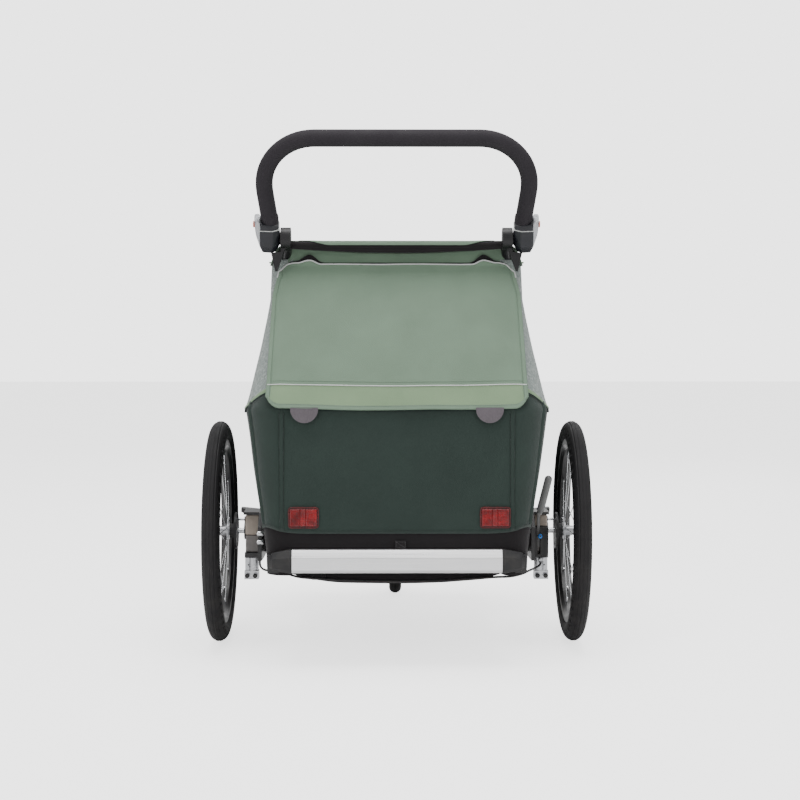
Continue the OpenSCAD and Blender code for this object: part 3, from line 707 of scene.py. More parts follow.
def sleeve_foam(name, colour):
    """Closed-cell foam: matt, with open pores at its skin, painted darker inside as shade."""
    tree, bsdf = started(name, Specular_IOR_Level=0.3)
    vector = node(tree, "TexCoord").outputs["Object"]
    skin = placed_group(tree, "Moulded grain", vector, Size=0.0013)
    pores = spread(tree, skin["Height"], 0.15, 0.6)
    # The pits of the pores are painted darker than the foam: painted shade.
    base = blend_of(tree, pores, shade(colour, 0.62), shade(colour, 1.25))
    base = blend_of(tree, maths(tree, "MULTIPLY", skin["Cloud"], 0.35), base, shade(colour, 1.5))
    tree.links.new(base, bsdf.inputs["Base Color"])
    tree.links.new(spread(tree, skin["Cloud"], 0, 1, 0.74, 0.9), bsdf.inputs["Roughness"])
    bumped(tree, bsdf, pores, 0.0004)


def reflective(name, colour, metallic=0.35):
    """Tape with glass beads: pale, a little metallic, finely sparkling by a painted glint in the middle of each
    bead.
    """
    tree, bsdf = started(name, Metallic=metallic, Specular_IOR_Level=0.7)
    vector = node(tree, "TexCoord").outputs["Object"]
    beads = node(tree, "TexVoronoi", Scale=2600.0)
    tree.links.new(vector, beads.inputs["Vector"])
    # Each bead is painted lighter in its middle and darker at its rim: a painted glint. The same pattern shapes
    # the bump.
    bead_shape_and_glint = spread(tree, beads.outputs["Distance"], 0.0, 0.7)
    tree.links.new(blend_of(tree, bead_shape_and_glint, shade(colour, 1.1), shade(colour, 0.8)), bsdf.inputs["Base Color"])
    gloss = spread(tree, noise_of(tree, vector, 90.0, 3.0), 0.3, 0.7, 0.25, 0.45)
    tree.links.new(gloss, bsdf.inputs["Roughness"])
    bumped(tree, bsdf, bead_shape_and_glint, 0.00012)


def lamp_lens(name, colour, dark):
    """Red reflector lens: glossy, with the grooves between the prisms painted dark red as shade."""
    tree, bsdf = started(name, Coat_Weight=0.35, Coat_Roughness=0.06, Specular_IOR_Level=0.4)
    vector = node(tree, "TexCoord").outputs["Object"]
    cells = node(tree, "TexVoronoi", feature="DISTANCE_TO_EDGE", Scale=330.0, Randomness=0.25)
    tree.links.new(vector, cells.inputs["Vector"])
    # The grooves between the prisms are painted dark red: painted shade. The cloud adds darker patches at
    # random.
    groove_shade = spread(tree, cells.outputs["Distance"], 0.0, 0.28)
    cloud = spread(tree, noise_of(tree, vector, 55.0, 3.0), 0.35, 0.65)
    base = blend_of(tree, maths(tree, "MULTIPLY", groove_shade, cloud), dark, colour)
    tree.links.new(base, bsdf.inputs["Base Color"])
    tree.links.new(spread(tree, cloud, 0, 1, 0.14, 0.3), bsdf.inputs["Roughness"])
    bumped(tree, bsdf, cells.outputs["Distance"], 0.0006)


# ---------- settings ----------

class TrailerSizes(bpy.types.PropertyGroup):
    """Sizes a maker would change without changing the frame"""
    cloth_thickness: bpy.props.FloatProperty(
        name="Cloth thickness", description="Thickness of the coated polyester cloth",
        default=0.0018, min=0.0006, max=0.003, unit="LENGTH")
    piping_radius: bpy.props.FloatProperty(
        name="Piping radius", description="Radius of the reflective piping",
        default=0.0015, min=0.0008, max=0.003, unit="LENGTH")
    stitch_length: bpy.props.FloatProperty(
        name="Stitch length", description="Length of one visible stitch",
        default=0.0032, min=0.002, max=0.005, unit="LENGTH")
    grip_diameter: bpy.props.FloatProperty(
        name="Grip diameter", description="Outside diameter of the foam on the push bar",
        default=0.037, min=0.034, max=0.038, unit="LENGTH")
    tread_depth: bpy.props.FloatProperty(
        name="Tread depth", description="Depth of the notches in the tyre's shoulder",
        default=0.0009, min=0.0003, max=0.002, unit="LENGTH")
    pad_swell: bpy.props.FloatProperty(
        name="Pad swell", description="Furthest that a seat pad's cover stands out",
        default=0.011, min=0.004, max=0.016, unit="LENGTH")


class TrailerColours(bpy.types.PropertyGroup):
    """Colours of the cloths and plastics"""
    sage: bpy.props.FloatVectorProperty(
        name="Sage", description="Flap, canopy and front cover", subtype="COLOR",
        default=tone(112, 134, 114), min=0, max=1)
    sage_light: bpy.props.FloatVectorProperty(
        name="Light sage", description="Lower band of the flap and edgings", subtype="COLOR",
        default=tone(124, 148, 116), min=0, max=1)
    dark_green: bpy.props.FloatVectorProperty(
        name="Dark green", description="Luggage compartment and lower sides", subtype="COLOR",
        default=tone(39, 52, 47), min=0, max=1)
    heather: bpy.props.FloatVectorProperty(
        name="Heather grey", description="Upper side panels", subtype="COLOR",
        default=tone(132, 142, 138), min=0, max=1)
    black_cloth: bpy.props.FloatVectorProperty(
        name="Black cloth", description="Lower band, belly and bindings", subtype="COLOR",
        default=tone(24, 21, 23), min=0, max=1)
    foam: bpy.props.FloatVectorProperty(
        name="Foam", description="Sleeve on the push bar", subtype="COLOR",
        default=tone(37, 34, 38), min=0, max=1)
    seat: bpy.props.FloatVectorProperty(
        name="Seat grey", description="Seat and backrest covers", subtype="COLOR",
        default=tone(104, 108, 110), min=0, max=1)
    reflector: bpy.props.FloatVectorProperty(
        name="Reflector red", description="Rear reflectors", subtype="COLOR",
        default=tone(170, 4, 14), min=0, max=1)
    button: bpy.props.FloatVectorProperty(
        name="Button orange", description="Release buttons of the push bar", subtype="COLOR",
        default=tone(214, 92, 56), min=0, max=1)


def sizes():
    return bpy.context.scene.trailer_sizes


def hue(name):
    return tuple(getattr(bpy.context.scene.trailer_colours, name))


# ---------- operators ----------

class MakeStage(bpy.types.Operator):
    """Pale floor, soft lights and the camera behind the trailer"""
    bl_idname = "trailer.make_stage"
    bl_label = "Stage and camera"

    def execute(self, context):
        camera = bpy.data.cameras.new("Camera")
        camera.lens, camera.sensor_width = 76.4, 36.0
        camera.clip_start, camera.clip_end = 0.1, 60.0
        eye = bpy.data.objects.new("Camera", camera)
        eye.location = (-0.020, -4.098, 0.761)
        eye.rotation_euler = (math.radians(90 - 3.03), 0, math.radians(-0.42))
        context.scene.collection.objects.link(eye)
        context.scene.camera = eye

        world = bpy.data.worlds.new("Studio")
        world.use_nodes = True
        back = world.node_tree.nodes["Background"]
        back.inputs["Color"].default_value = (1, 1, 1, 1)
        seen = node(world.node_tree, "LightPath").outputs["Is Camera Ray"]
        world.node_tree.links.new(spread(world.node_tree, seen, 0, 1, 0.72, 3.15), back.inputs["Strength"])
        context.scene.world = world

        bm = bmesh.new()
        bmesh.ops.create_grid(bm, x_segments=1, y_segments=1, size=14)
        floor = to_object("floor", bm, None, smooth=False)
        tree, bsdf = started("floor_paper", Roughness=0.85, Specular_IOR_Level=0.2)
        vector = node(tree, "TexCoord").outputs["Object"]
        cloud = spread(tree, noise_of(tree, vector, 1.5, 3.0), 0.3, 0.7)
        tree.links.new(blend_of(tree, cloud, (0.90, 0.90, 0.90), (0.93, 0.93, 0.93)),
                       bsdf.inputs["Base Color"])
        seen = node(tree, "LightPath").outputs["Is Camera Ray"]
        bsdf.inputs["Emission Color"].default_value = (1, 1, 1, 1)
        light = maths(tree, "MULTIPLY", seen, 1.9)
        tree.links.new(light, bsdf.inputs["Emission Strength"])
        floor.data.materials.append(bpy.data.materials["floor_paper"])

        self.softbox("overhead", (0.0, -0.6, 3.4), (0, -0.1, 0.3), 2.4, 88)
        self.softbox("rear_left", (-2.6, -3.6, 2.3), (0, -0.3, 0.6), 1.6, 42)
        self.softbox("rear_right", (2.9, -3.2, 1.8), (0, -0.3, 0.6), 1.6, 27)
        self.softbox("front", (0.6, 3.6, 2.6), (0, 0.2, 0.6), 2.0, 30)
        return {"FINISHED"}

    def softbox(self, name, place, towards, size, power):
        lamp = bpy.data.lights.new(name, "AREA")
        lamp.size, lamp.energy = size, power
        holder = bpy.data.objects.new(name, lamp)
        holder.location = place
        holder.rotation_euler = (Vector(towards) - Vector(place)).to_track_quat("-Z", "Y").to_euler()
        bpy.context.scene.collection.objects.link(holder)


class MixFinishes(bpy.types.Operator):
    """Cloths, plastics, rubbers and metals, from shared weave, grain and wear groups"""
    bl_idname = "trailer.mix_finishes"
    bl_label = "Finishes"

    def execute(self, context):
        build_weave_group()
        build_fleck_group()
        build_grain_group()
        build_wear_group()
        build_brushed_group()
        cloth("sage_cloth", hue("sage"), contrast=0.10)
        cloth("sage_band", hue("sage_light"), contrast=0.10)
        cloth("sage_edging", hue("sage_light"), pitch=0.0016, contrast=0.12)
        cloth("dark_green_cloth", hue("dark_green"), contrast=0.16)
        cloth("heather_mesh", hue("heather"), pitch=0.0018, contrast=0.10, fleck=0.8,
              light=tone(205, 210, 208), bump=0.0006)
        cloth("black_cloth", hue("black_cloth"), contrast=0.2, sheen=0.15)
        cloth("black_webbing", hue("black_cloth"), pitch=0.0022, contrast=0.35, bump=0.0006)
        cloth("piping_sage", hue("sage_light"), pitch=0.0016, contrast=0.12, coords="Object")
        cloth("piping_dark", hue("dark_green"), pitch=0.0011, contrast=0.16, coords="Object")
        cloth("piping_black", hue("black_cloth"), pitch=0.0022, contrast=0.35, coords="Object")
        cloth("grey_webbing", tone(96, 90, 95), pitch=0.0016, contrast=0.15, bump=0.0004, coords="Object")
        cloth("seat_cover", hue("seat"), pitch=0.0014, contrast=0.14, coords="Object", fleck=0.5)
        cloth("seat_mesh", tone(74, 78, 80), pitch=0.0024, contrast=0.3, bump=0.0006)
        cloth("thread_green", shade(hue("sage"), 0.62), pitch=0.0007, coords="Object")
        cloth("thread_dark", shade(hue("dark_green"), 0.55), pitch=0.0007, coords="Object")
        cloth("thread_black", tone(58, 56, 58), pitch=0.0007, coords="Object")
        reflective("reflective_piping", tone(214, 216, 214))
        reflective("reflective_shell", tone(196, 198, 202), metallic=0.5)
        film("smoked_film", tone(52, 60, 62), 0.62)
        film("clear_film", tone(196, 206, 208), 0.26, rough=0.08)
        sleeve_foam("grip_foam", hue("foam"))
        moulded("tyre_rubber", tone(22, 21, 23), rough=0.66, grain=0.0016, bump=0.00018, wear=0.06,
                dust=0.05, Specular_IOR_Level=0.35)
        moulded("black_plastic", tone(13, 12, 15), rough=0.42, grain=0.0008, bump=0.00006,
                wear=0.25, dust=0.12)
        moulded("pod_plastic", tone(25, 26, 32), rough=0.36, grain=0.0008, bump=0.00005, wear=0.3, dust=0.0)
        moulded("grey_plastic", tone(128, 128, 128), rough=0.5, wear=0.2, dust=0.15, worn=tone(170, 170, 168))
        moulded("red_plastic", tone(176, 30, 30), rough=0.38, wear=0.2, dust=0.1, worn=tone(214, 110, 100))
        moulded("orange_button", hue("button"), rough=0.42, grain=0.0026, bump=0.0002, wear=0.5,
                dust=0.0, worn=tone(240, 214, 200))
        moulded("pad_beige", tone(172, 160, 148), rough=0.6, grain=0.0014, wear=0.15, dust=0.15,
                worn=tone(196, 188, 178))
        moulded("pad_grey", tone(126, 122, 120), rough=0.6, grain=0.0014, wear=0.15, dust=0.15,
                worn=tone(160, 156, 152))
        lamp_lens("reflector_lens", hue("reflector"), tone(92, 0, 5))
        lamp_lens("reflector_rim", shade(hue("reflector"), 0.45), tone(60, 0, 4))
        metal("satin_aluminium", tone(250, 250, 252), rough=0.3, bump=0.00001, dust=0.03)
        metal("silver_metal", tone(204, 205, 208), rough=0.3, dust=0.12)
        metal("bright_steel", tone(216, 217, 220), rough=0.16, along=(1.0, 1.0, 0.2), dust=0.05)
        metal("rim_black", tone(20, 20, 22), rough=0.34, painted=True, along=(1, 1, 1),
              Coat_Weight=0.4, Coat_Roughness=0.2)
        metal("frame_black", tone(20, 19, 22), rough=0.4, painted=True, along=(1, 1, 1),
              Coat_Weight=0.3, Coat_Roughness=0.25)
        metal("blue_anodised", tone(52, 108, 176), rough=0.25)
        return {"FINISHED"}


FINISH_OF_SLOT = {
    "frame_black": "frame_black", "bumper_alu": "satin_aluminium", "silver_metal": "silver_metal",
    "bright_steel": "bright_steel", "black_plastic": "black_plastic", "grey_plastic": "grey_plastic",
    "black_fabric": "piping_black", "dark_green_fabric": "piping_dark", "sage_fabric": "piping_sage",
    "grey_mesh": "heather_mesh", "window_film": "smoked_film", "grey_fabric": "seat_cover",
    "foam_grip": "grip_foam", "tyre_rubber": "tyre_rubber", "elastomer": "pad_beige",
    "red_reflector": "reflector_lens", "orange_button": "orange_button", "red_plastic": "red_plastic",
}


class FinishFrame(bpy.types.Operator):
    """Finishes on the frame's own pieces, and rounded edges on the ones that show most"""
    bl_idname = "trailer.finish_frame"
    bl_label = "Metal and plastic pieces"

    def execute(self, context):
        slots = {part["node"]: part["material_slot"] for part in frame["record"]["subparts"]}
        for name, piece in frame["nodes"].items():
            for slot in piece.material_slots:
                slot.material = bpy.data.materials[FINISH_OF_SLOT[slots[name]]]
        for side in ("left", "right"):
            frame["nodes"]["rim_" + side].material_slots[0].material = bpy.data.materials["rim_black"]
        rounding = {"bumper_profile": 0.9, "bumper_caps": 1.4, "suspension_plates": 0.8,
                    "clamp_left": 0.9, "clamp_right": 0.9, "swing_arm_left": 1.0,
                    "swing_arm_right": 1.0, "brake_housing": 1.2, "knuckles": 3.6,
                    "caster_fork": 1.0, "tow_socket": 0.8}
        for name, width in rounding.items():
            source = frame["nodes"][name]
            dark = name == "suspension_plates"
            refined(name, width, "frame_black" if dark else source.material_slots[0].material.name,
                    name + "_finished", "frame_black" if dark else slots[name])
        return {"FINISHED"}


def wall_thickness():
    return sizes().cloth_thickness * 1000


def piping_radius():
    return sizes().piping_radius * 1000


def stitch_row(name, lines, material, body, slot, pitch=5.4, crumples=True):
    piece = stitches(name, lines, material, sizes().stitch_length * 1000, pitch)
    settle(piece, body, slot)
    return folds(piece) if crumples else piece


def window_ring(outline, surface, inner, outer):
    """Binding sewn round a window: a strip between the outline shrunk and grown by so many mm."""
    cy = sum(p[0] for p in outline) / len(outline)
    cz = sum(p[1] for p in outline) / len(outline)

    def place(u, w):
        k = min(int(u * len(outline)), len(outline) - 1)
        t = u * len(outline) - k
        corners = []
        for p in (outline[k], outline[(k + 1) % len(outline)]):
            grow = mix(inner, outer, w)
            corners.append((p[0] + math.copysign(grow, p[0] - cy), p[1] + math.copysign(grow, p[1] - cz)))
        return surface(mix(corners[0][0], corners[1][0], t), mix(corners[0][1], corners[1][1], t))

    bm = mapped(16 * len(outline), 4, place)
    bmesh.ops.remove_doubles(bm, verts=bm.verts[:], dist=1e-6)
    return bm


def lower_body(q, z, out=0.0):
    """Outline of the black lower band at height z."""
    hw = 280 + (z - 248.5) * (0.13 if z > 248.5 else 0.03) + out
    yr, rc = -325.8 - out, 40.0
    if q < 0.26:
        return (hw - rc) * q / 0.26, yr
    if q < 0.31:
        a = math.pi / 2 * (q - 0.26) / 0.05
        return hw - rc + rc * math.sin(a), yr + rc * (1 - math.cos(a))
    return hw, mix(yr + rc, 597, (q - 0.31) / 0.69)


def signed(u):
    return (-1 if u < 0.5 else 1), abs(u - 0.5) * 2


class CoverLowerBody(bpy.types.Operator):
    """Dark green luggage compartment, black lower band, belly and nose panel"""
    bl_idname = "trailer.cover_lower_body"
    bl_label = "Lower body"

    def execute(self, context):
        def compartment(u, w):
            side, q = signed(u)
            z = mix(hem_line(q) - 1.5, belt_line(q) + 1, w)
            x, y = round_body(q, z, ripple(u * 900, z, 3, 110, 1.6) + 1.0)
            return side * x, y, z
        bm = outward(mapped(240, 30, compartment), (0, 100, 400))
        piece = sheet_piece("compartment_cloth", bm, "dark_green_cloth", wall_thickness())
        folds(settle(piece, "chassis", "dark_green_fabric", "storage_wall", "side_lower"))

        def seam(q, low, high):
            line = []
            for k in range(21):
                z = mix(low, high, k / 20)
                x, y = round_body(q, z, 2.4)
                line.append((x, y, z))
            return line
        seams = both_sides(seam(0.2195, 296, 584)) + both_sides(seam(0.284, 306, 566))

        def across(p):
            lean = 0.5 if abs(p[0]) > 262 else 0.0
            return 1, math.copysign(lean, p[0]), 0
        tape = ribbon("compartment_seams", seams, across, 8, 0.9, "dark_green_cloth")
        folds(settle(tape, "chassis", "dark_green_fabric"))
        rows = []
        for q, shift in ((0.2195, -0.004), (0.2195, 0.004), (0.284, 0.0055)):
            rows += both_sides([(*round_body(q + shift, z, 3.0), z) for z in range(304, 560, 16)])
        stitch_row("compartment_stitching", rows, "thread_dark", "chassis", "dark_green_fabric")
        hem = []
        for k in range(-60, 61):
            q = abs(k) / 60 * 0.36
            x, y = round_body(q, hem_line(q) + 5, 2.4)
            hem.append((x if k >= 0 else -x, y, hem_line(q) + 5))
        stitch_row("hem_stitching", [hem], "thread_dark", "chassis", "dark_green_fabric")

        def edging(u, w):
            q = mix(0.222, 0.995, u)
            z = belt_line(q) + 9.5 * w - 1.5
            x, y = round_body(q, z, 2.6 + 0.8 * math.sin(math.pi * w))
            return x, y, z
        bm = outward(mapped(90, 5, edging), (0, 100, 560))
        other = flipped(bm.copy())
        piece = sheet_piece("belt_edging", join([bm, other]), "sage_edging", 1.4)
        folds(settle(piece, "chassis", "sage_fabric"))
        belt = [(*round_body(q, belt_line(q) - 2, 3.0), belt_line(q) - 2)
                for q in [mix(0.224, 0.99, k / 60) for k in range(61)]]
        piece = piping("belt_piping", both_sides(belt), 1.5, "piping_dark")
        folds(settle(piece, "chassis", "dark_green_fabric"))

        def band(u, w):
            side, q = signed(u)
            low = 236 - 37 * ease((q - 0.2) / 0.05) * (1 - ease((q - 0.34) / 0.06))
            z = mix(low, hem_line(q) + 1, w)
            x, y = lower_body(q, z, ripple(u * 800, z, 40, 70, 1.4))
            return side * x, y, z
        bm = outward(mapped(200, 14, band), (0, 100, 260))
        piece = sheet_piece("lower_band", bm, "black_cloth", wall_thickness())
        settle(piece, "chassis", "black_fabric", "skirt")

        def belly(u, w):
            a = (u - 0.5) * math.pi
            x = 247.5 * math.copysign(abs(math.sin(a)) ** 0.8, a)
            depth = 95 * max(0.0, math.cos(a)) ** 0.5
            y = mix(-312, 528, min(1.0, max(0.0, (w - 0.05) / 0.9)))
            lift = 25 * (1 - ease((y + 290) / 190)) + 34 * ease((y - 440) / 88)
            z = 249 - depth * (1 - lift / 91) + ripple(x, y, 5, 90, 2.5) * (depth / 91)
            if w < 0.05:
                return x, y, mix(249, z, ease(w / 0.05) ** 0.5)
            if w > 0.95:
                return x, y, mix(249, z, ease((1 - w) / 0.05) ** 0.5)
            return x, y, z
        bm = outward(mapped(64, 110, belly), (0, 100, 248))
        piece = sheet_piece("belly_cloth", bm, "black_cloth", wall_thickness())
        settle(piece, "chassis", "black_fabric", "floor_tub")

        def nose(u, w):
            x = mix(-281, 281, u)
            z = mix(258, 352, w)
            return x, 609 + 14 * (1 - (x / 290) ** 2) + ripple(x, z, 9, 60, 1.5), z
        bm = outward(mapped(70, 14, nose), (0, 100, 300))
        piece = sheet_piece("nose_cloth", bm, "black_cloth", wall_thickness())
        settle(piece, "chassis", "black_fabric", "skirt")
        lip = [(x, 611 + 14 * (1 - (x / 290) ** 2), 352) for x in range(-280, 281, 14)]
        settle(piping("nose_binding", [lip], 2.2, "piping_black"), "chassis", "black_fabric")

        tabs = ribbon("pull_tab_lower", [[(7.5, -328.6 - 1.2 * math.sin(k * 0.35), 273.5 - 2.1 * k)
                                          for k in range(9)]], lambda p: (1, 0, 0), 23, 1.6, "black_webbing")
        settle(tabs, "chassis", "black_fabric")
        edge = [(x, -330.4, z) for x, z in ((-2, 271), (17, 271), (17, 259), (-2, 259), (-2, 271), (17, 259))]
        stitch_row("pull_tab_stitching", [edge], "thread_black", "chassis", "black_fabric", 3.6, False)
        loop = ribbon("belly_tab", [[(-166.5, -315.2, 206 - 2.2 * k) for k in range(9)]],
                      lambda p: (1, 0, 0), 29, 1.6, "black_webbing")
        settle(loop, "chassis", "black_fabric")
        return {"FINISHED"}


SIDE_WINDOW = [(-60, 600), (352, 600), (180, 820), (-20, 820)]
FRONT_WINDOW = [(-232, 440), (232, 440), (214, 800), (-214, 800)]


class HangSidePanels(bpy.types.Operator):
    """Heather grey mesh sides with their smoked windows and bindings"""
    bl_idname = "trailer.hang_side_panels"
    bl_label = "Side panels"

    def execute(self, context):
        def panel_at(depth):
            def place(u, w):
                q = mix(0.212, 1.0, u)
                z = mix(belt_line(q) + 2, 873, w)
                x, y = round_body(q, z, depth + ripple(u * 500, z, 60, 80, 1.8) * math.sin(math.pi * w))
                return x, y, z
            return place
        for side in ("left", "right"):
            turn = flipped if side == "left" else (lambda bm: bm)
            bm = opened(outward(mapped(120, 56, panel_at(1.0)), (0, 100, 700)), SIDE_WINDOW, (1, 2))
            panel = sheet_piece("side_panel_" + side, turn(bm), "heather_mesh", wall_thickness())
            folds(settle(panel, "chassis", "grey_mesh", "side_upper"))
            bm = opened(outward(mapped(60, 30, panel_at(-0.2)), (0, 100, 700)), SIDE_WINDOW, (1, 2), True)
            glass = thicken(to_object("side_window_" + side, turn(bm), "smoked_film"), 0.8)
            folds(settle(glass, "chassis", "window_film", "side_windows"))
            ring = window_ring(SIDE_WINDOW, lambda y, z: (half_at(z) + 2.6, y, z), -7, 7)
            ring = outward(ring, (0, 100, 700))
            piece = thicken(to_object("side_window_binding_" + side, turn(ring), "black_webbing"), 1.4)
            folds(settle(piece, "chassis", "black_fabric"))
        rows = []
        for grow in (-4.5, 4.5):
            pts = []
            for (y, z), (y1, z1) in zip(SIDE_WINDOW, SIDE_WINDOW[1:] + SIDE_WINDOW[:1]):
                a = (y + math.copysign(grow, y - 113), z + math.copysign(grow, z - 710))
                b = (y1 + math.copysign(grow, y1 - 113), z1 + math.copysign(grow, z1 - 710))
                pts += [(half_at(mix(a[1], b[1], k / 20)) + 3.0, mix(a[0], b[0], k / 20),
                         mix(a[1], b[1], k / 20)) for k in range(21)]
            rows += both_sides(pts)
        stitch_row("side_window_stitching", rows, "thread_black", "chassis", "black_fabric", 6.5)
        front = [(half_at(z) + 1.5, front_at(z), z) for z in range(552, 873, 8)]
        piece = piping("side_front_binding", both_sides(front), 2.4, "piping_sage")
        folds(settle(piece, "chassis", "sage_fabric"))
        return {"FINISHED"}


class StretchCanopy(bpy.types.Operator):
    """Canopy in one curved sheet, with its black rear roll, valance and webbing"""
    bl_idname = "trailer.stretch_canopy"
    bl_label = "Canopy"

    def execute(self, context):
        def top(u, w):
            t = (u - 0.5) * 2
            x = 280 * math.copysign(1 - (1 - abs(t)) ** 1.35, t)
            inner = ease((252 - abs(x)) / 14)
            y = mix(-128 - 25 * inner, 221, w)
            z = mix(roof_z(x, min(y, 199)), 913.5, inner * (1 - ease((y + 153) / 46)))
            z -= 15 * (max(0.0, y - 192) / 29) ** 2
            return x, y, z + ripple(x, y, 2, 95, 2.2) * (1 - abs(t) ** 4) * ease((y + 150) / 40)
        bm = outward(mapped(96, 60, top), (0, 30, 700))
        piece = sheet_piece("canopy", bm, "sage_cloth", wall_thickness())
        folds(settle(piece, "chassis", "sage_fabric", "roof"))

        def roll(u, w):
            x = mix(-241, 241, u)
            a = 2 * math.pi * w
            r = 8.4 + ripple(x, 30 * math.sin(a), 30 * math.cos(a), 45, 1.0)
            return x, -156 - r * math.cos(a), 904 + r * math.sin(a)
        bm = mapped(90, 24, roll)
        bmesh.ops.remove_doubles(bm, verts=bm.verts[:], dist=1e-6)
        bmesh.ops.recalc_face_normals(bm, faces=bm.faces[:])
        folds(settle(sheet_piece("canopy_roll", bm, "black_cloth", 1.0), "chassis", "black_fabric"))

        def lip_strip(u, w):
            x = mix(-238, 238, u)
            return x, -160.5 - 1.5 * math.sin(math.pi * w), mix(887 + 8.5 * (x / 238) ** 2, 902, w)
        bm = outward(mapped(90, 5, lip_strip), (0, 30, 880))
        folds(settle(sheet_piece("canopy_roll_lip", bm, "black_cloth", 1.4), "chassis", "black_fabric"))

        def cap(u, w):
            x = mix(-214, 214, u)
            a = mix(math.radians(86 - 90 * ease((214 - abs(x)) / 70)), math.pi * 0.62, w)
            r = 9.9 + ripple(x, 9 * w, 3, 60, 0.6)
            over = ease((w - 0.6) / 0.4)
            y = mix(-156 - r * math.cos(a), -128, over)
            return x, y, mix(904 + r * math.sin(a), roof_z(x, -128) + 0.5, over)
        bm = outward(mapped(100, 16, cap), (0, -130, 880))
        folds(settle(sheet_piece("canopy_cap", bm, "sage_cloth", 1.0), "chassis", "sage_fabric"))

        def valance(u, w):
            x = mix(-240, 240, u)
            z = mix(855, roof_z(x, -128) - 2, w)
            return x, -126.6 + 2.0 * math.sin(w * 2.6) + ripple(x, z, 4, 60, 1.0), z
        bm = outward(mapped(80, 12, valance), (0, 30, 880))
        piece = sheet_piece("valance", bm, "sage_cloth", 1.2)
        folds(settle(piece, "chassis", "sage_fabric", "roof"))

        def webbing(u, w):
            x = mix(-238, 238, u)
            low = flap_point(x, flap_top_edge(x))[2] - 2
            high = 8.0 + 8.5 * ease(1 - abs(abs(x) - 192) / 34)
            return x, -129.6 - 1.0 * math.sin(math.pi * w), low + high * w
        bm = outward(mapped(120, 5, webbing), (0, 30, 865))
        folds(settle(sheet_piece("flap_webbing", bm, "black_webbing", 1.6), "chassis", "black_fabric"))

        side = [(281, y, 866.5) for y in range(-118, 222, 10)]
        lip = [(x, 221.5, roof_z(x, 199) - 15) for x in range(-278, 279, 12)]
        piece = piping("canopy_binding", both_sides(side) + [lip], 2.0, "piping_sage")
        folds(settle(piece, "chassis", "sage_fabric"))
        row = [(x, 188, roof_z(x, 188) + 1.2) for x in range(-266, 267, 12)]
        stitch_row("canopy_stitching", [row], "thread_green", "chassis", "sage_fabric")
        return {"FINISHED"}


class SewFlap(bpy.types.Operator):
    """Luggage flap with its piping, lighter lower band, bindings, stitching and pull tabs"""
    bl_idname = "trailer.sew_flap"
    bl_label = "Luggage flap"

    def execute(self, context):
        def surface(x, d, out=0.0):
            return flap_point(x, d, flap_billow(x, d) + out)

        def cloth_at(u, w):
            x = (2 * u - 1) * flap_width(mix(-3, 361, w))
            return surface(x, mix(flap_top_edge(x), flap_low_edge(x), w))
        bm = outward(mapped(150, 110, cloth_at), (0, 100, 500))
        flap = to_object("flap_cloth", bm, "sage_cloth")
        flap.data.materials.append(bpy.data.materials["sage_band"])
        low = spot(*surface(0, 306))
        down = (spot(*surface(0, 340)) - low).normalized()
        for face in flap.data.polygons:
            x = face.center.x * 1000
            if (face.center - low).dot(down) * 1000 > -6 * (x / 278) ** 2 + 1:
                face.material_index = 1
        thicken(flap, wall_thickness())
        folds(settle(flap, "flap", "sage_fabric", "luggage_flap"))

        def line_at(distance):
            return lambda x: 307 - 6 * (x / 278) ** 2 + distance

        across = [x for x in range(-276, 277, 6)]
        piping_low = [surface(x, line_at(0)(x), 1.0) for x in across]
        upper = [surface(-flap_width(d), d, 0.8) for d in range(30, 12, -3)]
        upper += [surface(x, flap_top_edge(x) - 0.4, 0.8) for x in range(-259, 260, 3)]
        upper += [surface(flap_width(d), d, 0.8) for d in range(15, 33, 3)]
        piece = piping("flap_piping", [upper], piping_radius() + 0.25, "reflective_piping")
        folds(settle(piece, "flap", "silver_metal"))
        piece = piping("flap_lower_piping", [piping_low], piping_radius() - 0.25, "reflective_piping")
        folds(settle(piece, "flap", "silver_metal"))

        def side_strip(u, w):
            d = mix(14, 352, u)
            x = flap_width(d) - mix(9.5, -0.6, w)
            drop = flap_low_edge(x)
            return surface(x, min(d, drop + 0.5), 0.9)

        def low_strip(u, w):
            x = mix(-274, 274, u)
            return surface(x, flap_low_edge(x) - mix(9.5, -0.8, w), 1.1)
        strip = mapped(90, 4, side_strip)
        strips = join([outward(strip.copy(), (0, 100, 500)), outward(flipped(strip), (0, 100, 500)),
                       outward(mapped(120, 4, low_strip), (0, 100, 500))])
        piece = sheet_piece("flap_binding", strips, "sage_cloth", 1.0)
        folds(settle(piece, "flap", "sage_fabric"))
        rows = [[surface(x, line_at(-9)(x), 0.5) for x in range(-268, 269, 8)],
                [surface(x, flap_low_edge(x) - 8, 1.3) for x in range(-262, 263, 8)]]
        rows += both_sides([surface(flap_width(d) - 8, d, 1.2) for d in range(22, 340, 8)])
        stitch_row("flap_stitching", rows, "thread_green", "flap", "sage_fabric", 5.0)

        discs = []
        for x in (-196, 196):
            bm = bmesh.new()
            turn = Matrix.Rotation(math.pi / 2, 4, "X")
            bmesh.ops.create_circle(bm, cap_ends=True, segments=64, radius=0.0295,
                                    matrix=Matrix.Translation(spot(x, -326.2, 552.5)) @ turn)
            bmesh.ops.bisect_plane(bm, geom=bm.verts[:] + bm.edges[:] + bm.faces[:],
                                   plane_co=spot(x, 0, 556), plane_no=(0, 0, 1), clear_outer=True)
            bmesh.ops.inset_region(bm, faces=bm.faces[:], thickness=0.0024, depth=0.0)
            middle = max(bm.faces, key=lambda f: f.calc_area())
            moved_up = bmesh.ops.extrude_discrete_faces(bm, faces=[middle])["faces"]
            bmesh.ops.translate(bm, vec=(0, -0.0006, 0), verts=moved_up[0].verts[:])
            bmesh.ops.recalc_face_normals(bm, faces=bm.faces[:])
            discs.append(outward(bm, (x, 100, 540)))
        piece = crisp(sheet_piece("flap_pull_tabs", join(discs), "grey_webbing", 2.6))
        folds(settle(piece, "flap", "grey_plastic"))
        return {"FINISHED"}


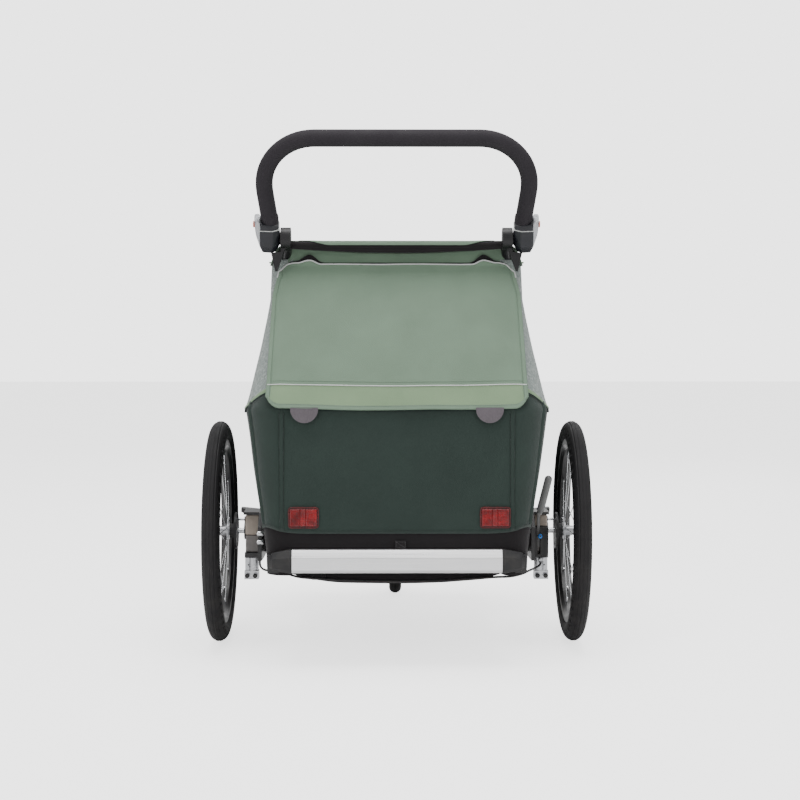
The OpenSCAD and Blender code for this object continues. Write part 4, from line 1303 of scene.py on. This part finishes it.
class FitFront(bpy.types.Operator):
    """Front cover with its clear window and bindings"""
    bl_idname = "trailer.fit_front"
    bl_label = "Front cover"

    def execute(self, context):
        def cover_at(depth):
            def place(u, w):
                t = 2 * u - 1
                z = mix(352, 878, w)
                return (t * (half_at(z) + 0.5), front_at(z) + 2.5 + depth + 14 * (1 - t * t)
                        + ripple(t * 300, z, 2, 90, 2.0) * (1 - t * t), z)
            return place

        def surface(x, z):
            t = max(-1.0, min(1.0, x / (half_at(z) + 0.5)))
            return x, front_at(z) + 4.2 + 14 * (1 - t * t), z
        bm = opened(outward(mapped(90, 80, cover_at(0)), (0, 100, 500)), FRONT_WINDOW, (0, 2))
        cover = sheet_piece("front_cover_cloth", bm, "sage_cloth", wall_thickness())
        folds(settle(cover, "front_door", "sage_fabric", "front_cover"))
        bm = opened(outward(mapped(60, 50, cover_at(-1.4)), (0, 100, 500)), FRONT_WINDOW, (0, 2), True)
        glass = thicken(to_object("front_film", bm, "clear_film"), 0.8)
        folds(settle(glass, "front_door", "window_film", "front_window"))
        ring = outward(window_ring(FRONT_WINDOW, surface, -8, 8), (0, 100, 500))
        folds(settle(thicken(to_object("front_window_binding", ring, "black_webbing"), 1.4),
                     "front_door", "black_fabric"))
        edge = [(half_at(z) + 0.8, front_at(z) + 3.5, z) for z in range(352, 879, 8)]
        top = [surface(x, 878) for x in range(-276, 277, 12)]
        low = [surface(x, 352) for x in range(-292, 293, 12)]
        piece = piping("front_cover_binding", both_sides(edge) + [top, low], 2.2, "piping_black")
        folds(settle(piece, "front_door", "black_fabric"))
        zips = both_sides([surface(half_at(z) - 15, z) for z in range(362, 870, 6)])
        piece = ribbon("front_zips", zips, lambda p: (1, -0.25 * (1 if p[0] > 0 else -1), 0), 9, 1.4,
                       "black_webbing")
        folds(settle(piece, "front_door", "black_fabric"))
        row = both_sides([(x, y + 1.2, z) for x, y, z in zips[1]][::2])
        stitch_row("front_zip_teeth", row, "thread_black", "front_door", "black_fabric", 3.9)
        return {"FINISHED"}


BACK = (-60.0, 400.0, math.radians(10.4))
SEAT_MID = 118.0


def reclined(x, y, z):
    c, s = math.cos(BACK[2]), math.sin(BACK[2])
    return x, BACK[0] + y * c - z * s, BACK[1] + y * s + z * c


def puffed(name, bm, cap, hold):
    """Foam pad in a sewn cover: the block is remeshed, blown up a little as cloth, and applied.
    hold(point) is 0 where the pad rests on something and 1 where its cover is free."""
    bmesh.ops.subdivide_edges(bm, edges=bm.edges[:], cuts=1, use_grid_fill=True)
    piece = to_object(name, bm, "seat_cover")
    context = bpy.context
    bpy.ops.object.select_all(action="DESELECT")
    context.view_layer.objects.active = piece
    piece.select_set(True)
    piece.data.remesh_voxel_size = 0.006
    bpy.ops.object.voxel_remesh()
    start = [v.co.copy() for v in piece.data.vertices]
    sim = piece.modifiers.new("Cloth", "CLOTH")
    sim.settings.use_pressure = True
    sim.settings.uniform_pressure_force = 4.0
    sim.settings.quality = 5
    sim.settings.mass = 0.3
    sim.settings.effector_weights.gravity = 0.0
    sim.point_cache.frame_start, sim.point_cache.frame_end = 1, 20
    for moment in range(1, 21):
        context.scene.frame_set(moment)
    blown = piece.evaluated_get(context.evaluated_depsgraph_get()).to_mesh()
    ends = [v.co.copy() for v in blown.vertices]
    piece.modifiers.remove(sim)
    context.scene.frame_set(1)
    for v, a, b in zip(piece.data.vertices, start, ends):
        step = b - a
        if step.length > cap:
            step *= cap / step.length
        v.co = a + step * hold(a)
    return piece


def channelled(piece, lines, depth, width):
    """Sewn channels: the cover is pulled in along each line, a function of a point in mm."""
    for v in piece.data.vertices:
        p = v.co * 1000
        p.y -= AXLE
        pull = sum(math.exp(-(line(p) / width) ** 2) for line in lines)
        v.co -= v.normal * depth * 0.001 * min(1.0, pull)
    piece.data.update()
    smooth = piece.modifiers.new("Soft surface", "SUBSURF")
    smooth.levels = smooth.render_levels = 1
    piece.data.shade_smooth()
    return piece


class StuffSeats(bpy.types.Operator):
    """Seat pads, backrest pads and the cloth they are sewn to"""
    bl_idname = "trailer.stuff_seats"
    bl_label = "Seats"

    def execute(self, context):
        swell = sizes().pad_swell
        seat = block((13, -30, 354), (223, 202, 371), 7, 3)
        piece = puffed("seat_pad_right", seat, swell, lambda p: 0.15 if p.z < 0.356 else 1.0)
        channelled(piece, [lambda p: p.y - 20, lambda p: p.y - 84, lambda p: p.y - 148,
                           lambda p: 40 if p.z < 362 else min(abs(p.x - 26), abs(p.x - 210))],
                   3.6, 5.0)
        back = block((19, 5.5, 36), (211, 24, 320), 7, 3)
        for v in back.verts:
            p = v.co * 1000
            v.co = spot(*reclined(p.x, p.y - AXLE, p.z))
        upright = puffed("back_pad_right", back, swell, lambda p: 1.0)
        channelled(upright, [lambda p: p.z - 470, lambda p: p.z - 540, lambda p: p.z - 610,
                             lambda p: p.z - 670], 3.6, 5.0)
        made = [piece, upright]
        for right in (piece, upright):
            bm = bmesh.new()
            bm.from_mesh(right.data)
            left = to_object(right.name.replace("right", "left"), flipped(bm), "seat_cover")
            smooth = left.modifiers.new("Soft surface", "SUBSURF")
            smooth.levels = smooth.render_levels = 1
            made.append(left)
        for pad in made:
            on_seat = pad.name.startswith("seat")
            settle(pad, "chassis" if on_seat else "backrest", "grey_fabric",
                   "seat_pads" if on_seat else "backrest_cover")

        def back_cloth(u, w):
            t = (u - 0.5) * 2
            z = mix(18, 352, w)
            half = 219 - (50 * ((z - 290) / 62) ** 2.2 if z > 290 else 0)
            return reclined(t * half, -9.5 + 5 * t * t + ripple(t * 200, z, 3, 80, 1.5), z)
        bm = outward(mapped(60, 40, back_cloth), (0, 300, 560))
        piece = sheet_piece("backrest_cloth", bm, "seat_mesh", 2.0)
        settle(piece, "backrest", "grey_fabric")
        return {"FINISHED"}


class FitHarness(bpy.types.Operator):
    """Shoulder straps with their pads and adjusters"""
    bl_idname = "trailer.fit_harness"
    bl_label = "Harness"

    def execute(self, context):
        lines, cuffs = [], []
        for x in (SEAT_MID - 45, SEAT_MID + 45):
            for side in (-1, 1):
                line = []
                for k in range(25):
                    z = mix(40, 300, k / 24)
                    out = 34.5 + 3 * math.sin(math.pi * k / 24)
                    line.append(reclined(side * x, out, z))
                lines.append(line)
                cuffs.append([reclined(side * x, 39.5 + 2 * math.sin(math.pi * k / 12), mix(130, 286, k / 12))
                              for k in range(13)])
        piece = ribbon("shoulder_straps", lines, lambda p: (1, 0, 0), 25, 1.6, "black_webbing")
        settle(piece, "backrest", "black_fabric")
        pads = ribbon("shoulder_pads", cuffs, lambda p: (1, 0, 0), 44, 5.0, "seat_mesh")
        settle(pads, "backrest", "grey_fabric")
        slides = [block((side * x - 17, 0, 0), (side * x + 17, 5, 22), 1.6)
                  for x in (SEAT_MID - 45, SEAT_MID + 45) for side in (-1, 1)]
        for bm in slides:
            for v in bm.verts:
                p = v.co * 1000
                v.co = spot(*reclined(p.x, p.y - AXLE + 35.5, p.z + 92))
        piece = crisp(to_object("strap_adjusters", join(slides), "black_plastic"))
        settle(piece, "backrest", "black_plastic")
        return {"FINISHED"}


LEAN = math.radians(31.9)
PIVOT = (-160.0, 918.0)


def leg(x, s, out=0.0):
    """Point in the push bar's plane: x across, s up the leg, out towards the rear."""
    return (x, PIVOT[0] - s * math.sin(LEAN) - out * math.cos(LEAN),
            PIVOT[1] + s * math.cos(LEAN) - out * math.sin(LEAN))


def bar_line(start_x, start_s, steps=16):
    """Centre line of the push bar's tube with its rounded corners."""
    side, top = 285.0, (1124 - PIVOT[1]) / math.cos(LEAN)
    corners = [(-start_x, start_s), (-side, 122), (-side, top), (side, top), (side, 122), (start_x, start_s)]
    radii = [160, 110, 110, 160]
    line = [Vector(corners[0])]
    for k in range(1, 5):
        a, b, c = (Vector(corners[j]) for j in (k - 1, k, k + 1))
        d1, d2 = (b - a).normalized(), (c - b).normalized()
        turn = d1.angle(d2)
        cut = radii[k - 1] * math.tan(turn / 2)
        inward = (d2 - d1 * d1.dot(d2)).normalized()
        for j in range(steps + 1):
            t = turn * j / steps
            line.append(b - d1 * cut + d1 * radii[k - 1] * math.sin(t)
                        + inward * radii[k - 1] * (1 - math.cos(t)))
    line.append(Vector(corners[-1]))
    return [leg(p.x, p.y) for p in line]


def pod_part(points, width, segments=2):
    return rounded_hull([leg(x, s, out) for x, s, out in points], width, segments)


class SleevePushBar(bpy.types.Operator):
    """Foam grip, its collars, and the pods that carry the bar on the upper frame"""
    bl_idname = "trailer.sleeve_push_bar"
    bl_label = "Push bar"

    def execute(self, context):
        radius = sizes().grip_diameter * 500
        grip = piping("bar_grip", [bar_line(275.6, 38)], radius, "grip_foam", sides=48)
        settle(grip, "push_bar", "foam_grip", "handle_foam")
        collars = []
        for side in (-1, 1):
            direction = Vector(leg(side * 285, 122)) - Vector(leg(side * 276.6, 54))
            centre = leg(side * 276.6, 52)
            collars.append(drum(centre, direction, radius + 1.0, 12, 3.0, 64))
        piece = crisp(to_object("grip_collars", join(collars), "grip_foam"))
        settle(piece, "push_bar", "foam_grip")

        body = [(264, -25, 13), (272, -26, 21), (294, -25, 19), (296, -20, -14), (264, -22, -12),
                (255.5, -8, 13), (270.5, -10, 26), (299, -9, 24), (299, -8, -20), (256, -8, -18),
                (256, 29, 16), (270, 30, 25), (298, 30, 23), (300, 30, -19), (257, 29, -18)]
        shell = [(291, -19, 19), (299, -17, 17), (299, -17, -17), (291, -19, -19),
                 (297, 51, 23), (309, 54, 20), (311, 52, -18), (297, 51, -22),
                 (301, 20, 21), (307.5, 18, 18), (307.5, 18, -18)]
        collar = [(256, 29, 15), (270, 30, 24), (298, 30, 22), (300, 30, -19), (257, 29, -18),
                  (259, 39, 14), (270, 42, 20), (296, 44, 19), (298, 50, -19), (259, 46, -19)]
        rim = [(255.4, 29.2, 16.6), (269.8, 30.2, 25.8), (298.6, 30.2, 23.8), (300.8, 30.2, -19.4),
               (256.4, 29.2, -18.6)]
        rim += [(x, s + 1.4, out) for x, s, out in rim]
        hubs = join([drum((side * 258.5, -160, 918), (1, 0, 0), 14, 8.6, 2.0) for side in (-1, 1)])
        settle(crisp(to_object("pod_hubs", hubs, "black_plastic")), "push_bar", "black_plastic")
        for name, points, width, finish, slot in (
                ("pod_body", body, 2.4, "pod_plastic", "black_plastic"),
                ("pod_collar", collar, 2.0, "pod_plastic", "black_plastic"),
                ("pod_shell", shell, 3.0, "reflective_shell", "silver_metal"),
                ("pod_rim", rim, 0.4, "reflective_piping", "silver_metal")):
            for side in ("left", "right"):
                bm = pod_part(points, width, 3)
                if side == "left":
                    bm = flipped(bm)
                piece = crisp(to_object(name + "_" + side, bm, finish), 38)
                flat = piece.modifiers.new("Flat faces", "WEIGHTED_NORMAL")
                flat.keep_sharp = True
                settle(piece, "push_bar", slot, *(["handle_pods"] if name == "pod_body" else []))
        return {"FINISHED"}


class MountTyres(bpy.types.Operator):
    """Tyres with ribbed treads, notched shoulders and sidewall rings"""
    bl_idname = "trailer.mount_tyres"
    bl_label = "Tyres"

    def execute(self, context):
        for side, x in WHEELS:
            bm = self.tyre((x, 0, WHEEL_Z), 228.0, 24.9, 17.0, 192, sizes().tread_depth, 0.83)
            piece = to_object("tyre_rubber_" + side, bm, "tyre_rubber")
            crisp(piece, 28)
            settle(piece, "wheel_" + side, "tyre_rubber", "tyre_" + side)
        bm = self.tyre((0, 650, 100), 83.5, 16.4, 11.5, 96, sizes().tread_depth * 0.6)
        piece = crisp(to_object("caster_rubber", bm, "tyre_rubber"), 28)
        settle(piece, "caster_wheel", "tyre_rubber", "caster_tyre")
        return {"FINISHED"}

    def tyre(self, centre, middle, r, bead, steps, depth, slim=1.0):
        """Section spun round the axle: ribs by grooves in the section, notches by insets."""
        bm = bmesh.new()
        low = math.asin(bead / r)
        count = 44
        last = None
        for k in range(count + 1):
            a = mix(-math.pi + low, math.pi - low, k / count)
            crown = abs(a)
            size = r
            if crown < 0.75 and k % 4 == 2:
                size -= 1.1
            if 1.55 < crown < 1.75 or 2.2 < crown < 2.36:
                size -= 0.5
            v = bm.verts.new(spot(centre[0] + size * math.sin(a) * slim, centre[1],
                                  centre[2] + middle + size * math.cos(a)))
            if last:
                bm.edges.new((last, v))
            last = v
        bmesh.ops.spin(bm, geom=bm.verts[:] + bm.edges[:], cent=spot(*centre), axis=(1, 0, 0),
                       angle=2 * math.pi, steps=steps, use_merge=True, use_duplicate=False)
        bmesh.ops.remove_doubles(bm, verts=bm.verts[:], dist=1e-6)
        hub = spot(*centre)
        notched = []
        for face in bm.faces:
            c = face.calc_center_median() - hub
            out = Vector((0, c.y, c.z))
            a = math.atan2(abs(c.x), out.length - middle * 0.001)
            turn = math.atan2(c.y, c.z) % (2 * math.pi)
            place = int(turn / (2 * math.pi) * steps + 0.01)
            if 0.92 < a < 1.24 and (place + (1 if c.x > 0 else 0)) % 3 == 0:
                notched.append(face)
        bmesh.ops.recalc_face_normals(bm, faces=bm.faces[:])
        bmesh.ops.inset_individual(bm, faces=notched, thickness=0.0005, depth=-depth,
                                   use_even_offset=True)
        return bm


class MountReflectors(bpy.types.Operator):
    """Red rear reflectors with prism faces, in black surrounds"""
    bl_idname = "trailer.mount_reflectors"
    bl_label = "Reflectors"

    def execute(self, context):
        lenses, frames = [], []
        for x in (-198, 208):
            for part, span in ((-1, (x - 29, x - 7)), (0, (x - 7.2, x + 5.2)), (1, (x + 5, x + 29))):
                lenses.append(block((span[0], -334.2, 305), (span[1], -329, 341), 1.6, 3))
                bm = bmesh.new()
                bmesh.ops.create_grid(bm, x_segments=3 if part == 0 else 8, y_segments=11, size=0.5)
                for v in bm.verts:
                    v.co = spot(mix(span[0] + 1.8, span[1] - 1.8, v.co.x + 0.5), -334.25,
                                mix(306.8, 339.2, v.co.y + 0.5))
                outward(bm, (x, 100, 320))
                bmesh.ops.poke(bm, faces=bm.faces[:], offset=0.0009)
                lenses.append(bm)
            surround = bmesh.new()
            bmesh.ops.create_cube(surround, size=1.0)
            for v in surround.verts:
                v.co = spot(x + v.co.x * 65, -328.9 + v.co.y * 4.2, 323 + v.co.z * 45.5)
            upright = [e for e in surround.edges if abs((e.verts[0].co - e.verts[1].co).y) > 0.001]
            bmesh.ops.bevel(surround, geom=upright, offset=0.007, segments=5, profile=0.5,
                            affect="EDGES", clamp_overlap=True, material=-1)
            rear = min(surround.faces, key=lambda f: f.calc_center_median().y)
            bmesh.ops.inset_region(surround, faces=[rear], thickness=0.0022, depth=0.0)
            bmesh.ops.inset_region(surround, faces=[rear], thickness=0.0006, depth=-0.0016)
            bmesh.ops.recalc_face_normals(surround, faces=surround.faces[:])
            frames.append(surround)
        piece = crisp(to_object("reflector_lenses", join(lenses), "reflector_lens"), 20)
        settle(piece, "chassis", "red_reflector", "reflectors")
        piece = crisp(to_object("reflector_surrounds", join(frames), "reflector_rim"))
        settle(piece, "chassis", "red_reflector")
        return {"FINISHED"}


class DressSuspension(bpy.types.Operator):
    """Elastomer pads, bolts, clamp screws and the brake's small parts"""
    bl_idname = "trailer.dress_suspension"
    bl_label = "Suspension and brake details"

    def execute(self, context):
        for side, turn in (("left", -1), ("right", 1)):
            for name, low, high, finish in (("lower", 214.6, 252.6, "pad_grey"),
                                            ("upper", 253.4, 299.4, "pad_beige")):
                bm = block((311, -82, low), (341, -30, high), 3.2, 4)
                for v in bm.verts:
                    p = v.co * 1000
                    t = (p.z - low) / (high - low)
                    v.co.x += 0.0008 * math.sin(math.pi * t) * (1 if p.x > 326 else -1)
                if turn < 0:
                    bm = flipped(bm)
                piece = crisp(to_object("pad_%s_%s" % (name, side), bm, finish), 40)
                settle(piece, "chassis", "elastomer", "suspension_pads")
                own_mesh(piece)
            arm = "arm_" + side
            heads, marks, sockets = [], [], []
            for x in (320, 338):
                heads.append(drum((x, -79, 160), (0, -1, 0), 5.2, 5, 1.0))
                sockets.append(drum((x, -81.8, 160), (0, -1, 0), 2.3, 1.0, 0, 6))
            marks.append(drum((335, -70.2, 184), (0.38, -0.92, 0), 3.6, 3.0, 0.6))
            sockets.append(drum((335.7, -71.9, 184), (0.38, -0.92, 0), 1.8, 0.8, 0, 6))
            for z in (156, 199):
                marks.append(drum((329, -55, z), (0, 0, 1), 16.2, 2.6, 0.7, 64))
            for parts, name, finish, slot in ((heads, "clamp_screws", "black_plastic", "black_plastic"),
                                              (marks, "clamp_trim", "silver_metal", "silver_metal"),
                                              (sockets, "clamp_sockets", "rim_black", "frame_black")):
                bm = join(parts)
                if turn < 0:
                    bm = flipped(bm)
                piece = crisp(to_object(name + "_" + side, bm, finish))
                settle(piece, arm, slot)
        bolts = []
        for z in (265, 246):
            bolts.append(flipped(drum((303, -145, z), (1, 0, 0), 5.8, 15, 1.0)))
        piece = crisp(to_object("plate_bolts", join(bolts), "bright_steel"))
        settle(piece, "chassis", "silver_metal")
        bolt = drum((320, -140, 258), (0, -1, 0), 5.4, 5, 1.2)
        piece = crisp(to_object("brake_bolt", bolt, "blue_anodised"))
        settle(piece, "chassis", "silver_metal")
        socket = drum((320, -142.4, 258), (0, -1, 0), 2.4, 0.9, 0, 6)
        piece = crisp(to_object("brake_bolt_socket", socket, "rim_black"))
        settle(piece, "chassis", "frame_black")
        sleeve = join([drum((324, -116, 203), (0, 0, 1), 6.2, 9, 0.8),
                       drum((324, -116, 197.6), (0, 0, 1), 4.6, 4, 0.4, tip=3.4)])
        piece = crisp(to_object("cable_anchor_sleeve", sleeve, "silver_metal"))
        settle(piece, "chassis", "silver_metal")
        half = [(212, -310, 193.5), (180, -318, 192), (150, -318, 189.5), (110, -318, 186.5),
                (60, -318.5, 185), (0, -318.5, 184.5)]
        right = [(324, -116, 195.7), (322, -119, 191), (315, -128, 187), (306, -142, 186),
                 (300, -166, 188), (284, -215, 190), (270, -262, 192), (242, -296, 191.5)]
        left = [(-234, -298, 199), (-254, -255, 198), (-270, -205, 190), (-293, -168, 187),
                (-302, -147, 190), (-304.6, -139, 195), (-304.6, -137, 202.5)]
        route = right + half + [(-x, y, z) for x, y, z in half[-2::-1]] + left
        # Cutting the corners three times over makes the route one smooth curve.
        for _ in range(3):
            route = [route[0]] + [q for a, b in zip(route, route[1:]) for q in (
                tuple(mix(i, j, 0.25) for i, j in zip(a, b)),
                tuple(mix(i, j, 0.75) for i, j in zip(a, b)))] + [route[-1]]
        piece = piping("brake_cable_sheath", [route], 2.5, "black_plastic", sides=12)
        settle(piece, "chassis", "black_plastic", "brake_cable")
        nipples = []
        for _, x in WHEELS:
            for k in range(20):
                turn = Matrix.Rotation(2 * math.pi * k / 20, 4, "X")
                a = math.radians(34 if (k // 2) % 2 == 0 else -34)
                a0 = Vector((0, 190.5 * math.sin(a), 190.5 * math.cos(a)))
                d = (a0 - Vector((0, 0, 15))).normalized()
                end = turn @ (a0 - d * 7)
                inner = (3 if k % 2 == 0 else -3) * (1 if x > 0 else -1)
                nipples.append((x, drum((x + inner, end.y, WHEEL_Z + end.z), turn.to_3x3() @ d, 2.1, 12, 0, 8)))
        for side, x in WHEELS:
            bm = join([part for place, part in nipples if place == x])
            piece = crisp(to_object("spoke_nipples_" + side, bm, "bright_steel"))
            settle(piece, "wheel_" + side, "bright_steel")
        return {"FINISHED"}


class TrailerPanel(bpy.types.Panel):
    """Steps and settings of the trailer"""
    bl_idname = "VIEW3D_PT_trailer"
    bl_label = "Child bicycle trailer"
    bl_space_type = "VIEW_3D"
    bl_region_type = "UI"
    bl_category = "Trailer"

    def draw(self, context):
        layout = self.layout
        for step in STEPS:
            layout.operator(step.bl_idname)
        for group in (context.scene.trailer_sizes, context.scene.trailer_colours):
            box = layout.box()
            for name in group.__annotations__:
                box.prop(group, name)


STEPS = (MakeStage, MixFinishes, FinishFrame, CoverLowerBody, HangSidePanels, StretchCanopy, SewFlap,
         FitFront, StuffSeats, FitHarness, SleevePushBar, MountTyres, MountReflectors, DressSuspension)
CLASSES = (TrailerSizes, TrailerColours, *STEPS, TrailerPanel)


def register():
    for c in CLASSES:
        bpy.utils.register_class(c)
    bpy.types.Scene.trailer_sizes = bpy.props.PointerProperty(type=TrailerSizes)
    bpy.types.Scene.trailer_colours = bpy.props.PointerProperty(type=TrailerColours)


def unregister():
    del bpy.types.Scene.trailer_colours
    del bpy.types.Scene.trailer_sizes
    for c in reversed(CLASSES):
        bpy.utils.unregister_class(c)


def main():
    register()
    bpy.ops.trailer.make_stage()
    bpy.ops.trailer.mix_finishes()
    bpy.ops.trailer.finish_frame()
    bpy.ops.trailer.cover_lower_body()
    bpy.ops.trailer.hang_side_panels()
    bpy.ops.trailer.stretch_canopy()
    bpy.ops.trailer.sew_flap()
    bpy.ops.trailer.fit_front()
    bpy.ops.trailer.stuff_seats()
    bpy.ops.trailer.fit_harness()
    bpy.ops.trailer.sleeve_push_bar()
    bpy.ops.trailer.mount_tyres()
    bpy.ops.trailer.mount_reflectors()
    bpy.ops.trailer.dress_suspension()


if __name__ == "__main__":
    main()
